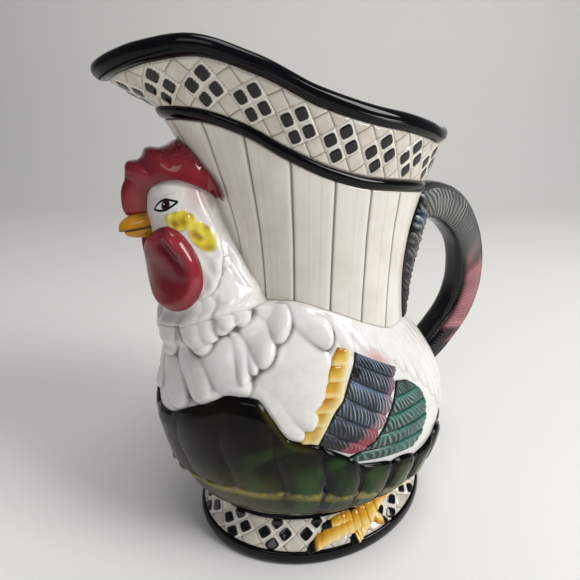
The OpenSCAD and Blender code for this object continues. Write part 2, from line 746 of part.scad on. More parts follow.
module wing_bar(side) {
    color("#e2b93f")
    sprig(side, bar_front_shares, bar_back_shares, wing_top, function (a, z) belly_at(a, z), 4, feather_thick);
}

module wing_fan(side) {
    color("#2b3340")
    sprig(side, fan_front_shares, fan_back_shares, wing_top, function (a, z) belly_at(a, z), 6, feather_thick);
}

module wing_tips(side) {
    color("#1f4a42")
    sprig(side, tips_front_shares, tips_back_shares, wing_top, function (a, z) belly_at(a, z), 6, feather_thick);
}

module tail_sprig(side) {
    color("#3a3a40")
    sprig(
        side, sprig_front_shares, sprig_back_shares, shoulder_height,
        function (a, z) neck_r(a, z) + plank_crown, 4, feather_thick
    );
}

module wing_bar_left() {
    wing_bar(left);
}

module wing_bar_right() {
    wing_bar(right);
}

module wing_fan_left() {
    wing_fan(left);
}

module wing_fan_right() {
    wing_fan(right);
}

module wing_tips_left() {
    wing_tips(left);
}

module wing_tips_right() {
    wing_tips(right);
}

module tail_sprig_left() {
    tail_sprig(left);
}

module tail_sprig_right() {
    tail_sprig(right);
}

// One toe: a ridge along its points on the foot's slope
module toe(side, points) {
    shares = [-1, -0.6, 0, 0.6, 1];
    rises = [0.25, 0.8, 1, 0.8, 0.25];
    function grid(out) = [
        for (i = [0:len(points) - 1]) [
            for (k = [0:len(shares) - 1])
            let (
                j = side > 0 ? len(shares) - 1 - k : k,
                a = points[i][0],
                before = points[max(i - 1, 0)],
                after = points[min(i + 1, len(points) - 1)],
                run = (after[0] - before[0]) * PI / 180 * foot_length / 2,
                fall = (after[1] - before[1]) * foot_height,
                long = sqrt(run * run + fall * fall),
                narrow = i == len(points) - 1 ? 0.4 : len(points) > 3 ? 1 : 0.75,
                off = shares[j] * toe_half * narrow,
                turned = a - off * fall / long / (foot_length / 2) * 180 / PI,
                z = points[i][1] * foot_height + off * run / long
            )
            place(foot_r(turned, z) + slip + out * toe_thick * rises[j] * narrow, side * turned, z)
        ]
    ];
    sheet(grid(1), grid(0));
}

module claw(side) {
    color("#e0a92c")
    union() {
        for (points = toe_shares) toe(side, points);
    }
}

module claw_left() {
    claw(left);
}

module claw_right() {
    claw(right);
}

// Handle: a strap swept along its middle line, its ends shaped to the walls
module handle() {
    n = len(handle_shares);
    farthest = belly_back + finger_gap + handle_thick / 2;
    highest = handle_top - handle_thick / 2;
    function back_wall(z) = z > shoulder_z(0) ? neck_r(0, z) + plank_crown : belly_at(0, z);
    path = [
        for (p = handle_shares)
        let (z = p[1] * highest)
        [mix(back_wall(z), farthest, p[0]), z]
    ];
    function wall_x(y, z, reach) =
        let (a = atan2(y, neck_back), a2 = asin(y / reach(a, z)))
        reach(a2, z) * cos(a2) + slip;
    function section(i) =
        let (
            d = path[min(i + 1, n - 1)] - path[max(i - 1, 0)],
            long = norm(d),
            nx = -d[1] / long,
            nz = d[0] / long
        )
        [
            for (s = strap_shares)
            let (
                y = s[0] * handle_width / 2,
                t = s[1] * handle_thick / 2,
                x = path[i][0] + nx * t,
                z = path[i][1] + nz * t
            )
            i == 0 ? [wall_x(y, z, function (a, z) neck_r(a, z) + plank_crown), y, z] :
            i == n - 1 ? [wall_x(y, z, function (a, z) belly_at(a, z)), y, z] :
            [x, y, z]
        ];
    color("#25252b") tube([for (i = [0:n - 1]) section(i)]);
}

base();
foot();
waist_band();
belly();
shoulder();
neck();
collar_bead();
collar();
rim();
hackle();
head();
comb();
beak_upper();
beak_lower();
wattle_left();
wattle_right();
leaf_band();
wing_bar_left();
wing_bar_right();
wing_fan_left();
wing_fan_right();
wing_tips_left();
wing_tips_right();
tail_sprig_left();
tail_sprig_right();
claw_left();
claw_right();
handle();
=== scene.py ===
"""Rooster pitcher in glazed earthenware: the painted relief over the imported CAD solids.

Sizes are in millimetres, plan angles in degrees: 0 at the handle and 180 at the spout. Each wall is
the CAD's own surface with the moulded relief raised on it, and mesh() turns it to metres.
"""

import bpy
import numpy as np
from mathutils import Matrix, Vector


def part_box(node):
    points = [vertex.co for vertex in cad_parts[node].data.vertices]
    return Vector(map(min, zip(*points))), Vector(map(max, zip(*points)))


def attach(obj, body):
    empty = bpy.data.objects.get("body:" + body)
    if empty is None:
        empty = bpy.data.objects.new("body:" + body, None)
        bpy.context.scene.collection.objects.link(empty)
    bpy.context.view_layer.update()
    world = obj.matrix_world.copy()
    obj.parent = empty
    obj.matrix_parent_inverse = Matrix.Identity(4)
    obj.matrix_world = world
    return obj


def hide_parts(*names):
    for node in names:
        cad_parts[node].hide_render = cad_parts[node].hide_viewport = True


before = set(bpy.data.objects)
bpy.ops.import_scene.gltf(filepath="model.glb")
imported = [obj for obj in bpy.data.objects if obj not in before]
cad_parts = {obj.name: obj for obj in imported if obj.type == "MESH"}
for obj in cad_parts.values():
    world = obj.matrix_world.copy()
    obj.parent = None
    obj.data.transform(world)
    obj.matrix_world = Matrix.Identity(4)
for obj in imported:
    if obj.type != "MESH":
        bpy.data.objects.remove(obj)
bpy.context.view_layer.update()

MM = 0.001
DEG = np.pi / 180


def span(node):
    """Lowest and highest corner of a CAD node, in millimetres."""
    low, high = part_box(node)
    return np.array(low) / MM, np.array(high) / MM


# Driving sizes: those that a node's box gives are read from it, and the rest are the solids' own
foot_length, foot_width = (span("base")[1] - span("base")[0])[:2]
ring_height = span("base")[1][2]
foot_height = span("foot")[1][2]
waist_height = span("waist_band")[1][2]
head_top = span("head")[1][2]
waist_length, waist_width = 122, 86
belly_front, belly_back, belly_half = 83, 73.8, 60.5
breast_out, breast_round = 45, 35
wall, shoulder_height, shoulder_step = 4.5, 142, 0.8
neck_front, neck_back, neck_half = 71.5, 56, 44
plank_crown = 0.9
bead_top, bead_height, bead_out = 218.4, 4.5, 1.8
spout_reach, rim_back, rim_half = 95.5, 61, 48.5
rim_top, rim_height, rim_out = 238, 6.5, 1.5
head_ahead, hackle_round = 9.3, 32.5
throat_height, beak_height = 161, 173
comb_half, beak_half_width, beak_ahead, beak_lower_ahead = 3.2, 6.2, 30.9, 28.9
wattle_thick, wattle_low, wattle_high = 7, 137.5, 174.5
leaf_thick, leaf_crease, leaf_top = 3.6, 1.2, 107
wing_top = 122
finger_gap, handle_top, handle_width, handle_thick = 17, 184.5, 20, 15

# Power of the sum that blends two outlines: the higher it is, the sharper the crease between them
blend_power = 20
# Joint left for slip, the depth of an applied piece's unseen back, and the bed under the feathers
slip, sunk, feather_bed = 0.3, 1.2, 0.25
# Millimetres to a degree: of plan angle on the body and foot, and of turn on the hackle and face
body_degree, foot_degree, hackle_degree, face_degree = 65 * DEG, 62 * DEG, 22 * DEG, 0.28

# Tables of shares, as in the solids
shoulder_shares = [
    [0, 0.852], [30, 0.852], [58, 0.859], [83, 0.908], [107, 0.965],
    [131, 1], [150, 0.986], [165, 0.93], [180, 0.901],
]
belly_shares = [
    [0, 0.735, 0.826, 0.711, 0.67, 0.57], [0.06, 0.79, 0.89, 0.81, 0.71, 0.7],
    [0.14, 0.858, 0.952, 0.899, 0.8, 0.88], [0.24, 0.91, 0.978, 0.95, 0.89, 0.92],
    [0.35, 0.952, 0.998, 0.984, 0.93, 0.95], [0.47, 0.98, 1, 1, 0.96, 0.98],
    [0.58, 1, 0.973, 0.992, 0.98, 1], [0.69, 0.97, 0.915, 0.959, 1, 1.01],
    [0.79, 0.89, 0.833, 0.9, 1, 1], [0.88, 0.783, 0.743, 0.826, 1, 0.96],
    [0.95, 0.675, 0.671, 0.752, 1, 0.92], [1, 0.63, 0.627, 0.704, 1, 0.9],
]
waist_shares = [[0, 0], [0.06, 0.7], [0.14, 1], [1, 1]]
belly_share = 0.58
cavity_shares = [[0, 1], [0.8, 1], [0.88, 0.55], [0.94, 0.05], [1, 0]]
neck_shares = [
    [0, 0.63, 0.809, 0.932], [0.09, 0.636, 0.78, 0.927], [0.26, 0.65, 0.754, 0.92],
    [0.46, 0.692, 0.795, 0.92], [0.65, 0.769, 0.884, 0.943], [0.81, 0.86, 0.938, 0.966],
    [0.89, 0.909, 0.961, 0.977], [1, 1, 1, 1],
]
# Grooves between the planks by folded plan angle, mirrored from side to side
plank_grooves = np.array([0, 22, 44, 66, 87.3, 108.2, 129.2, 146, 159.5, 173, 187])
bead_shares = [
    [0, 0.856], [24, 0.856], [39, 0.862], [54, 0.869], [71, 0.876], [90, 0.884],
    [111, 0.903], [131, 0.937], [147, 0.976], [160, 0.996], [171, 1], [180, 1],
]
rim_shares = [
    [0, 0.885], [38, 0.885], [54, 0.895], [71, 0.906], [90, 0.916], [117, 0.941],
    [138, 0.98], [152.5, 1], [163, 0.99], [169, 0.98], [175, 0.971], [180, 0.967],
]
rooster_shares = [
    [0, -0.14, 1], [0.19, 0.21, 0.862], [0.39, 0.67, 0.677], [0.6, 1, 0.554],
    [0.76, 0.79, 0.492], [0.893, 0.41, 0.4], [1, 0.03, 0.2],
]
rooster_turns = [[0, 110], [0.19, 113], [0.39, 121], [0.6, 132], [0.85, 136], [1, 126]]
leaf_shares = [
    [0, 0.53], [14, 0.56], [28, 0.53], [41, 0.57], [54, 0.545], [72, 0.6], [90, 0.637],
    [104, 0.722], [114, 0.79], [125, 0.83], [131, 0.92], [137, 0.995], [145, 1],
    [153, 0.95], [162, 0.885], [168, 0.835], [180, 0.79],
]
handle_shares = [
    [0.01, 0.972], [0.145, 0.992], [0.3, 1], [0.475, 0.99], [0.65, 0.962], [0.803, 0.91],
    [0.919, 0.845], [0.981, 0.777], [1, 0.712], [0.968, 0.65], [0.843, 0.585],
    [0.632, 0.537], [0.36, 0.494], [0.01, 0.455],
]


def curve(table, x, k=1):
    """Smooth curve through column k of a table: cubic pieces with harmonic mean slopes, level at turns."""
    t = np.asarray(table, float)
    x = np.asarray(x, float)
    rise = np.diff(t[:, k]) / np.diff(t[:, 0])
    slope = np.empty(len(t))
    slope[0], slope[-1] = rise[0], rise[-1]
    before, after = rise[:-1], rise[1:]
    same_way = before * after > 0
    total = np.where(same_way, before + after, 1)
    slope[1:-1] = np.where(same_way, 2 * before * after / total, 0)
    i = np.clip(np.searchsorted(t[:, 0], x, side="right") - 1, 0, len(t) - 2)
    h = t[i + 1, 0] - t[i, 0]
    u = np.clip((x - t[i, 0]) / h, 0, 1)
    start = t[i, k] * (1 + 2 * u) * (1 - u) ** 2 + h * slope[i] * u * (1 - u) ** 2
    return start + t[i + 1, k] * u * u * (3 - 2 * u) - h * slope[i + 1] * u * u * (1 - u)


def mix(a, b, u):
    """Straight mix from a to b."""
    return a + (b - a) * u


def step(low, high, x):
    """Soft step from 0 at low to 1 at high."""
    u = np.clip((x - low) / (high - low), 0, 1)
    return u * u * (3 - 2 * u)


def hump(x, half):
    """Round bump: 1 at nought, nought past half on either side."""
    return np.clip(1 - (x / half) ** 2, 0, 1)


def fade(s, soft):
    """Nought at both ends of a run of shares, 1 past soft of it."""
    return step(0, soft, s) * step(1, 1 - soft, s)


def spot(x, z, middle_x, middle_z, wide, tall):
    """Soft spot: 1 at its middle, fading over wide by tall."""
    return np.exp(-((x - middle_x) / wide) ** 2 - ((z - middle_z) / tall) ** 2)


def scatter(number, spread=437.5):
    """Share from 0 to 1 that jumps from number to number: the broken part of a steep sine."""
    return np.modf(np.abs(np.sin(number) * spread))[0]


def fold(a):
    """Plan angle folded to the half from the handle, 0, to the spout, 180."""
    return np.abs((a + 540) % 360 - 180)


def oval(front, back, half, a):
    """Egg-shaped plan: an ellipse whose long radius is front before the axis and back behind it."""
    c, s = np.cos(a * DEG), np.sin(a * DEG)
    return 1 / np.sqrt((c / np.where(c < 0, front, back)) ** 2 + (s / half) ** 2)


def lobe(out, radius, a):
    """Far side of a circle of that radius whose centre is out in front of the axis, nought beside it."""
    s, c = out * np.sin(a * DEG), np.cos(a * DEG)
    hit = (c < 0) & (np.abs(s) < radius)
    return np.where(hit, -out * c + np.sqrt(np.maximum(radius ** 2 - s * s, 0)), 0)


def place(r, a, z):
    """Point at reach r, plan angle a and height z."""
    return np.stack(np.broadcast_arrays(r * np.cos(a * DEG), r * np.sin(a * DEG), z), axis=-1)


def shoulder_z(a):
    """Height of the shoulder, where the planks begin."""
    return shoulder_height * curve(shoulder_shares, fold(a))


def belly_r(a, s):
    """Belly: an egg-shaped plan and the breast's round lobe, blended by a high power sum."""
    left_waist = curve(waist_shares, s)
    body = oval(
        mix(waist_length / 2, belly_front * curve(belly_shares, s, 1), left_waist),
        mix(waist_length / 2, belly_back * curve(belly_shares, s, 2), left_waist),
        mix(waist_width / 2, belly_half * curve(belly_shares, s, 3), left_waist), a,
    )
    breast = lobe(breast_out * curve(belly_shares, s, 4), breast_round * curve(belly_shares, s, 5), a)
    return body * (1 + (breast / body) ** blend_power) ** (1 / blend_power)


def belly_at(a, z):
    """Reach of the belly at a plan angle and height."""
    return belly_r(a, np.clip((z - waist_height) / (shoulder_z(a) - waist_height), 0, 1))


neck_low = shoulder_height * shoulder_shares[0][1]


def neck_r(a, z):
    """Reach of the neck's grooves."""
    s = np.clip((z - neck_low) / (bead_top - neck_low), 0, 1)
    return oval(
        neck_front * curve(neck_shares, s, 1),
        neck_back * curve(neck_shares, s, 2),
        neck_half * curve(neck_shares, s, 3), a,
    )


def bead_z(a):
    """Height of the black bead's top."""
    return bead_top * curve(bead_shares, fold(a))


def rim_z(a):
    """Height of the brim."""
    return rim_top * curve(rim_shares, fold(a))


def collar_r(a, u):
    """Reach of the collar at a share of its height: it leans out from the bead to the brim."""
    high = oval(spout_reach - rim_out, rim_back - rim_out, rim_half - rim_out, a)
    return mix(neck_r(a, bead_z(a)), high, u ** 1.12)


def collar_end(a):
    """Share of the collar's height at which the rim begins: a rim's height below the brim, along the wall."""
    low, high = collar_r(a, 0), collar_r(a, 1)
    slant = np.hypot(high - low, rim_z(a) - bead_z(a))
    return 1 - rim_height / slant


def foot_r(a, z):
    """Reach of the foot: it flares from the waist down to the ring."""
    u = (1 - np.clip((z - ring_height) / (foot_height - ring_height), 0, 1)) ** 1.5
    ring = ring_height / 2
    long = mix(waist_length, foot_length - ring, u) / 2
    return oval(long, long, mix(waist_width, foot_width - ring, u) / 2, a)


rooster_low = float(shoulder_z(180))


def rooster_s(z):
    """Share of the rooster's height."""
    return np.clip((z - rooster_low) / (head_top - rooster_low), 0, 1)


def rooster_out(z):
    """Distance of the rooster's own centre line in front of the axis."""
    return neck_r(180, z) + plank_crown + head_ahead * curve(rooster_shares, rooster_s(z), 1)


def rooster_r(z):
    """Radius of the rooster round its own centre line."""
    return hackle_round * curve(rooster_shares, rooster_s(z), 2)


def skin(t, z, lift=0):
    """Point on the rooster at turn t round its own centre line, over 0 on its left, raised by lift."""
    r = rooster_r(z) + lift
    x = -rooster_out(z) - r * np.cos(t * DEG)
    return np.stack(np.broadcast_arrays(x, -r * np.sin(t * DEG), z), axis=-1)


def breast_reach(a, s):
    """Belly's reach, drawn out near its top to the rooster's own round section."""
    z = mix(waist_height, shoulder_z(a), s)
    plan = belly_r(a, s)
    bird = lobe(rooster_out(z), rooster_r(z), a) * step(0.74, 0.95, s)
    return plan * (1 + (bird / plan) ** blend_power) ** (1 / blend_power)


# Meshes

def mesh(name, points, faces, paint, node, slot, finish=None):
    """Puts points and quads into a smooth mesh that replaces a node. Paint is four masks a point.

    The faces are turned outwards: the mesh is closed, so its signed volume says which way they lie.
    """
    data = bpy.data.meshes.new(name)
    points = np.asarray(points, float).reshape(-1, 3) * MM
    faces = np.asarray(faces, int)
    a, b, c, d = (points[faces[:, k]] for k in range(4))
    if (np.cross(b - a, c - a) * a).sum() + (np.cross(c - a, d - a) * a).sum() < 0:
        faces = faces[:, ::-1]
    data.vertices.add(len(points))
    data.vertices.foreach_set("co", points.astype(np.float32).ravel())
    data.loops.add(faces.size)
    data.loops.foreach_set("vertex_index", faces.astype(np.int32).ravel())
    data.polygons.add(len(faces))
    data.polygons.foreach_set("loop_start", np.arange(0, faces.size, 4, dtype=np.int32))
    data.update(calc_edges=True)
    data.validate()
    data.polygons.foreach_set("use_smooth", np.ones(len(data.polygons), bool))
    colours = data.attributes.new("paint", "FLOAT_COLOR", "POINT")
    colours.data.foreach_set("color", np.asarray(paint, np.float32).reshape(-1, 4).ravel())
    piece = bpy.data.objects.new(name, data)
    bpy.context.collection.objects.link(piece)
    data.materials.append(glaze[finish or slot])
    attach(piece, "root")
    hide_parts(*([node] if isinstance(node, str) else node))
    return piece


def quads(n, m, round_rows, round_cols):
    """Quads of an n by m grid, closed across its rows or columns where the flags say."""
    i = np.arange(n if round_rows else n - 1)[:, None]
    j = np.arange(m if round_cols else m - 1)[None, :]
    k, l = (i + 1) % n, (j + 1) % m
    corners = np.broadcast_arrays(i * m + j, i * m + l, k * m + l, k * m + j)
    return np.stack(corners, axis=-1).reshape(-1, 4)


def masks(shape, *layers):
    """Up to four masks as one colour a point, each held between 0 and 1."""
    paint = np.zeros(shape + (4,))
    for k, layer in enumerate(layers):
        paint[..., k] = np.clip(layer, 0, 1)
    return paint


def wall_ring(name, node, slot, outer, inner, paint, finish=None):
    """Closed ring of wall: the painted outer rows from bottom to top, then the inner rows back down."""
    rows = np.concatenate([outer, inner])
    plain = masks(inner.shape[:2])
    faces = quads(*rows.shape[:2], True, True)
    return mesh(name, rows, faces, np.concatenate([paint, plain]), node, slot, finish)


def shell_faces(n, m):
    """Quads of a closed shell whose n rows hold m front points and then m back points, with both ends."""
    faces = quads(n, 2 * m, False, True)
    j = np.arange(m - 1)
    low = np.stack([j, 2 * m - 1 - j, 2 * m - 2 - j, j + 1], axis=-1)
    top = (n - 1) * 2 * m
    high = np.stack([top + j, top + j + 1, top + 2 * m - 2 - j, top + 2 * m - 1 - j], axis=-1)
    return np.concatenate([faces, low, high])


def shell(name, node, slot, front, back, paint, finish=None):
    """Closed shell: a painted front grid, and the same grid further in as its back."""
    loop = np.concatenate([front, back[:, ::-1]], axis=1)
    colours = np.concatenate([paint, paint[:, ::-1]], axis=1)
    return mesh(name, loop, shell_faces(*front.shape[:2]), colours, node, slot, finish)


def tube(name, node, slot, rows, paint):
    """Closed tube: rows of points round it, with each end drawn together at its middle."""
    first, last = (rows[k].mean(0)[None, None] + 0 * rows[:1] for k in (0, -1))
    rows = np.concatenate([first, rows, last])
    paint = np.concatenate([paint[:1], paint, paint[-1:]])
    return mesh(name, rows, quads(*rows.shape[:2], False, True), paint, node, slot)


def side_name(side):
    """The rooster's own side: -1 is its left."""
    return "right" if side > 0 else "left"


def mirrored(side, *grids):
    """Grids made for the left side, mirrored for the right."""
    return [grid * [1, -side, 1] for grid in grids]


def normals(points, round_cols=True):
    """Outward unit normals of a grid whose columns run counterclockwise and whose rows run up."""
    if round_cols:
        across = np.roll(points, -1, 1) - np.roll(points, 1, 1)
    else:
        across = np.gradient(points, axis=1)
    up = np.gradient(points, axis=0)
    n = np.cross(across, up)
    return n / np.maximum(np.linalg.norm(n, axis=-1, keepdims=True), 1e-9)


def raised(points, height, round_cols=True):
    """Grid moved out along its own normals by a relief height."""
    return points + normals(points, round_cols) * height[..., None]


def smooth(field, k, round_cols=True):
    """Mean of a field over 2k+1 places each way."""
    for axis in (0, 1):
        if axis and round_cols:
            field = sum(np.roll(field, s, 1) for s in range(-k, k + 1)) / (2 * k + 1)
        else:
            pad = np.pad(field, [(k, k) if d == axis else (0, 0) for d in (0, 1)], mode="edge")
            size = field.shape[axis]
            field = sum(np.take(pad, range(s, s + size), axis) for s in range(2 * k + 1)) / (2 * k + 1)
    return field


def hollows(height, k, deep, round_cols=True):
    """How far each place lies below its neighbourhood, 1 at deep: where painted shade darkens the hollows."""
    return np.clip((smooth(height, k, round_cols) - height) / deep - 0.12, 0, 1)


def feathers(x, z, plumes):
    """Overlapping feathers: each a leaf outline that rises from root to tip and is round across.

    A plume is root x, root z, tip x, tip z, width, height and sideways bend, all in millimetres.
    """
    height = np.zeros(np.broadcast(x, z).shape)
    for x0, z0, x1, z1, width, tall, bend in plumes:
        dx, dz = x1 - x0, z1 - z0
        long = np.hypot(dx, dz)
        u = ((x - x0) * dx + (z - z0) * dz) / long ** 2
        v = ((x - x0) * dz - (z - z0) * dx) / long - bend * 4 * u * (1 - u)
        half = width / 2 * np.clip(1 - np.clip(2 * u - 1, 0, 1) ** 2.5, 0, 1) ** 0.5 * step(-0.35, 0.35, u)
        inside = (u > -0.3) & (u < 1) & (half > 0.01)
        across = np.clip(1 - (v / np.maximum(half, 0.01)) ** 2, 0, 1) ** 0.6
        end = np.clip((1 - u) * long / (0.25 * width), 0, 1) ** 0.5
        rise = tall * (0.15 + 0.85 * np.clip(u, 0, 1)) * across * end
        height = np.where(inside, np.maximum(height, rise), height)
    return height


def in_millimetres(plumes, degree):
    """Plumes given by angle, with degree millimetres to each degree."""
    return [[p[0] * degree, p[1], p[2] * degree, *p[3:]] for p in plumes]


# Glazes

def linear(code):
    """sRGB hex code as a linear colour."""
    c = np.array([int(code[i:i + 2], 16) for i in (1, 3, 5)]) / 255
    c = np.where(c <= 0.04045, c / 12.92, ((c + 0.055) / 1.055) ** 2.4)
    return (*c, 1.0)


def add(tree, kind, settings=(), links=()):
    """Adds a node: settings are its properties and input values by name, links its inputs' sources."""
    made = tree.nodes.new(kind)
    for key, value in dict(settings).items():
        if isinstance(key, str) and hasattr(made, key):
            setattr(made, key, value)
        else:
            made.inputs[key].default_value = value
    for key, source in dict(links).items():
        tree.links.new(source, made.inputs[key])
    return made


def blend_colour(tree, factor, a, b):
    """Mix of two colours, each a hex code or another node's output."""
    made = add(tree, "ShaderNodeMix", {"data_type": "RGBA"})
    for socket, value in ((6, a), (7, b)):
        if isinstance(value, str):
            made.inputs[socket].default_value = linear(value)
        else:
            tree.links.new(value, made.inputs[socket])
    tree.links.new(factor, made.inputs[0])
    return made.outputs[2]


def glazed(name, base, layers, roughness=0.07, mottle=None, bump=0.05, size=6, ior=1.46):
    """Glazed earthenware: colours painted under a clear glaze, mixed by the piece's masks.

    Layers are pairs of a mask (0 to 3) and a hex colour. Mottle is a second hex colour that the brush
    leaves in soft patches of size millimetres.
    """
    made = bpy.data.materials.new(name)
    made.use_nodes = True
    tree = made.node_tree
    tree.nodes.clear()
    out = add(tree, "ShaderNodeOutputMaterial")
    where = add(tree, "ShaderNodeTexCoord")
    soft = add(
        tree, "ShaderNodeTexNoise", {"Scale": 1 / (size * MM), "Detail": 3.0, "Roughness": 0.55},
        {"Vector": where.outputs["Object"]},
    )
    colour = base
    if mottle:
        patch = add(
            tree, "ShaderNodeMapRange", {"From Min": 0.42, "From Max": 0.68},
            {"Value": soft.outputs["Fac"]},
        )
        colour = blend_colour(tree, patch.outputs["Result"], base, mottle)
    if layers:
        paint = add(tree, "ShaderNodeAttribute", {"attribute_name": "paint"})
        split = add(tree, "ShaderNodeSeparateColor", links={"Color": paint.outputs["Color"]})
        channels = [split.outputs[0], split.outputs[1], split.outputs[2], paint.outputs["Alpha"]]
        for channel, hex_colour in layers:
            colour = blend_colour(tree, channels[channel], colour, hex_colour)
    ripple = add(
        tree, "ShaderNodeTexNoise", {"Scale": 1 / (14 * MM), "Detail": 1.0},
        {"Vector": where.outputs["Object"]},
    )
    wave = add(
        tree, "ShaderNodeBump", {"Strength": bump, "Distance": 0.004},
        {"Height": ripple.outputs["Fac"]},
    )
    shader = add(
        tree, "ShaderNodeBsdfPrincipled",
        {"Roughness": roughness, "IOR": ior},
        {"Normal": wave.outputs["Normal"]},
    )
    if isinstance(colour, str):
        shader.inputs["Base Color"].default_value = linear(colour)
    else:
        tree.links.new(colour, shader.inputs["Base Color"])
    tree.links.new(shader.outputs[0], out.inputs[0])
    return made


glaze = {
    # Black gloss glaze on the rims: thick, with a faint bluish tint over the rolled rim and a painted bluish
    # highlight along the middle of the dark waist
    "black_glaze": glazed("black_gloss_glaze", "#030304", [(0, "#101218")], mottle="#050608", ior=1.3),
    # Clear glaze over white slip: painted grey shade in the hollows between feathers
    "white_glaze": glazed(
        "white_slip_glaze", "#e7e5e1", [(0, "#66635e"), (1, "#c98a88")], mottle="#e0ddd7",
    ),
    # White slip with the face's colours under the clear glaze: blush, ochre dabs and a lemon ear patch, and
    # painted grey shade in the hollows
    "head_paint": glazed(
        "head_white_glaze", "#e7e5e1", [(0, "#66635e"), (1, "#dba6a2"), (3, "#e4d22f"), (2, "#a5790e")],
        mottle="#e0ddd7",
    ),
    # Eye painted on the slip: white, black lines and a maroon iris
    "eye_paint": glazed("eye_white_glaze", "#e8e6e1", [(2, "#f0efec"), (1, "#4a1216"), (0, "#0a0c0d")]),
    # Warm cream glaze on the planks, grey in the grooves, with a painted highlight strip beside each groove
    "plank_glaze": glazed(
        "plank_cream_glaze", "#e6e0d6", [(0, "#67625a"), (1, "#efebe3")],
        mottle="#dcd6ca", size=14,
    ),
    # Cream glaze on the lattice with black painted squares and brown-grey grooves
    "lattice_glaze": glazed(
        "lattice_cream_glaze", "#dcd5c8", [(0, "#7d7468"), (1, "#e9e4da"), (2, "#08080a")],
        mottle="#c9bfaf", size=9,
    ),
    # Crimson glaze on comb and wattles, with painted shade in the hollows and a painted highlight on their
    # rounded parts
    "comb_glaze": glazed("comb_crimson_glaze", "#86202c", [(0, "#4a0d14"), (1, "#9c3742")], mottle="#781a25"),
    # Ochre glaze on the beak with brown lines and a painted highlight along the middle of each half
    "beak_glaze": glazed("beak_ochre_glaze", "#c9880f", [(0, "#3a1c06"), (1, "#dba038")], mottle="#b57206"),
    # Translucent greens on the leaves: black-green on top, olive lower, straw yellow at the foot, and
    # near-black painted shade in the hollows and creases
    "leaf_glaze": glazed(
        "leaf_green_glaze", "#060a07", [(1, "#45431a"), (3, "#2f4f24"), (2, "#95883f"), (0, "#020302")],
        mottle="#1c1105", size=24, ior=1.24,
    ),
    # Straw to ochre glaze on the wing's bar, with a pale painted highlight along each block's lower edge
    "bar_glaze": glazed(
        "bar_yellow_glaze", "#dbb552", [(0, "#ad760a"), (1, "#ead9a4")],
        mottle="#cf9c2a", size=7,
    ),
    # Blue-grey over black on the barbed fan, with a pink edge and a painted black shade line where the rows
    # meet
    "fan_glaze": glazed(
        "fan_blue_glaze", "#5b7189", [(3, "#10141a"), (2, "#a24b5b"), (1, "#d3dbe0"), (0, "#050608")],
        mottle="#33414f", size=9,
    ),
    # Teal green over black on the barbed wing tips, with painted black shade where the rows meet and on the
    # top row
    "tips_glaze": glazed(
        "tips_teal_glaze", "#2d6a5f", [(1, "#aebdb4"), (0, "#050d0b")],
        mottle="#1c4a43", size=9,
    ),
    # Black-grey on the tail: pale on the barbs, pink low down, blue by the root, and a faint painted
    # highlight on the handle's outer face
    "tail_glaze": glazed(
        "tail_black_glaze", "#08090b", [(3, "#5f84a6"), (2, "#a0525d"), (1, "#b3b5ae"), (0, "#040405")],
        mottle="#090a0c",
    ),
    # Yellow glaze on the feet, ochre in the creases and as painted shade on one side of each toe, a pale
    # painted highlight on the other side, black nails
    "claw_glaze": glazed(
        "claw_yellow_glaze", "#efbd45", [(0, "#b06c0e"), (1, "#f8e3a2"), (2, "#08080a")],
        mottle="#e3a92c",
    ),
}


# Vessel

around = 720
turn = np.arange(around)[None, :] * 360.0 / around - 180


def inner_rows(reach, heights):
    """Unseen inner side of a wall: a row of points at reach(h) for each of its heights h, top first."""
    return np.stack([place(reach(h), turn, h + 0 * turn)[0] for h in heights])


def base():
    """Foot ring: a rounded profile carried round the oval, closed by a flat underside and a dished top."""
    columns, hub, disc = 360, 0.5, 20
    lip = ring_height / 4
    outer = foot_length / 2
    angle = np.linspace(-90, 90, 24)
    out = outer - lip + lip * np.cos(angle * DEG)
    up = ring_height / 2 + (ring_height / 2) * np.sin(angle * DEG)
    crown, dish = ring_height - 0.2, ring_height * 0.75
    steps_in = outer - np.array([6, 9, 11])
    r = np.concatenate([[hub, disc, outer - 3 * lip], out, steps_in, [disc, hub]])
    z = np.concatenate([[0, 0, 0], up, [crown, crown, dish, dish, dish]])
    a = np.linspace(-180, 180, columns, endpoint=False)[None, :]
    points = place(r[:, None], a, z[:, None]) * [1, foot_width / foot_length, 1]
    faces = quads(len(r), columns, True, True)
    mesh("foot_ring", points, faces, masks(points.shape[:2]), "base", "black_glaze")


def lattice(along, up, first, second):
    """Slanted cells along a band, black in blocks of two by two that follow each other.

    A cell's two edges are given as (along, up). With p and q a place's shares of them, a cell is a unit
    square of p and q. Returns relief, groove mask, pale border mask and black mask.
    """
    area = first[0] * second[1] - first[1] * second[0]
    p = (along * second[1] - up * second[0]) / area
    q = (up * first[0] - along * first[1]) / area
    fp, fq = p % 1 - 0.5, q % 1 - 0.5
    black = np.floor((p + 1) / 2) == np.floor((q + 1) / 2)
    pad = (np.abs(fp) / 0.5) ** 6 + (np.abs(fq) / 0.5) ** 6
    pillow = np.clip(1 - pad, 0, 1) ** 0.5
    square = (np.abs(fp) / 0.375) ** 4 + (np.abs(fq) / 0.375) ** 4
    glass = np.clip(1 - square, 0, 1) ** 0.5
    relief = 0.6 * pillow + np.where(black, 0.15 + 0.3 * glass, 0)
    edge = np.maximum(np.abs(fp), np.abs(fq))
    groove = step(0.44, 0.5, edge) * np.where(black, 0.4, 1)
    return relief, groove, np.where(black, 0.8, 0.0), np.where(black, 1 - step(0.8, 1.15, square), 0)


def band_measure(points, level):
    """Distances on a band: along its middle row, that row's length, and up it from a share of its height."""
    middle = points[len(points) // 2]
    sides = np.linalg.norm(np.roll(middle, -1, 0) - middle, axis=-1)
    along = np.concatenate([[0], np.cumsum(sides)[:-1]])
    up = np.cumsum(np.linalg.norm(np.diff(points, axis=0, prepend=points[:1]), axis=-1), axis=0)
    return along[None, :], sides.sum(), up - up[-1:] * level


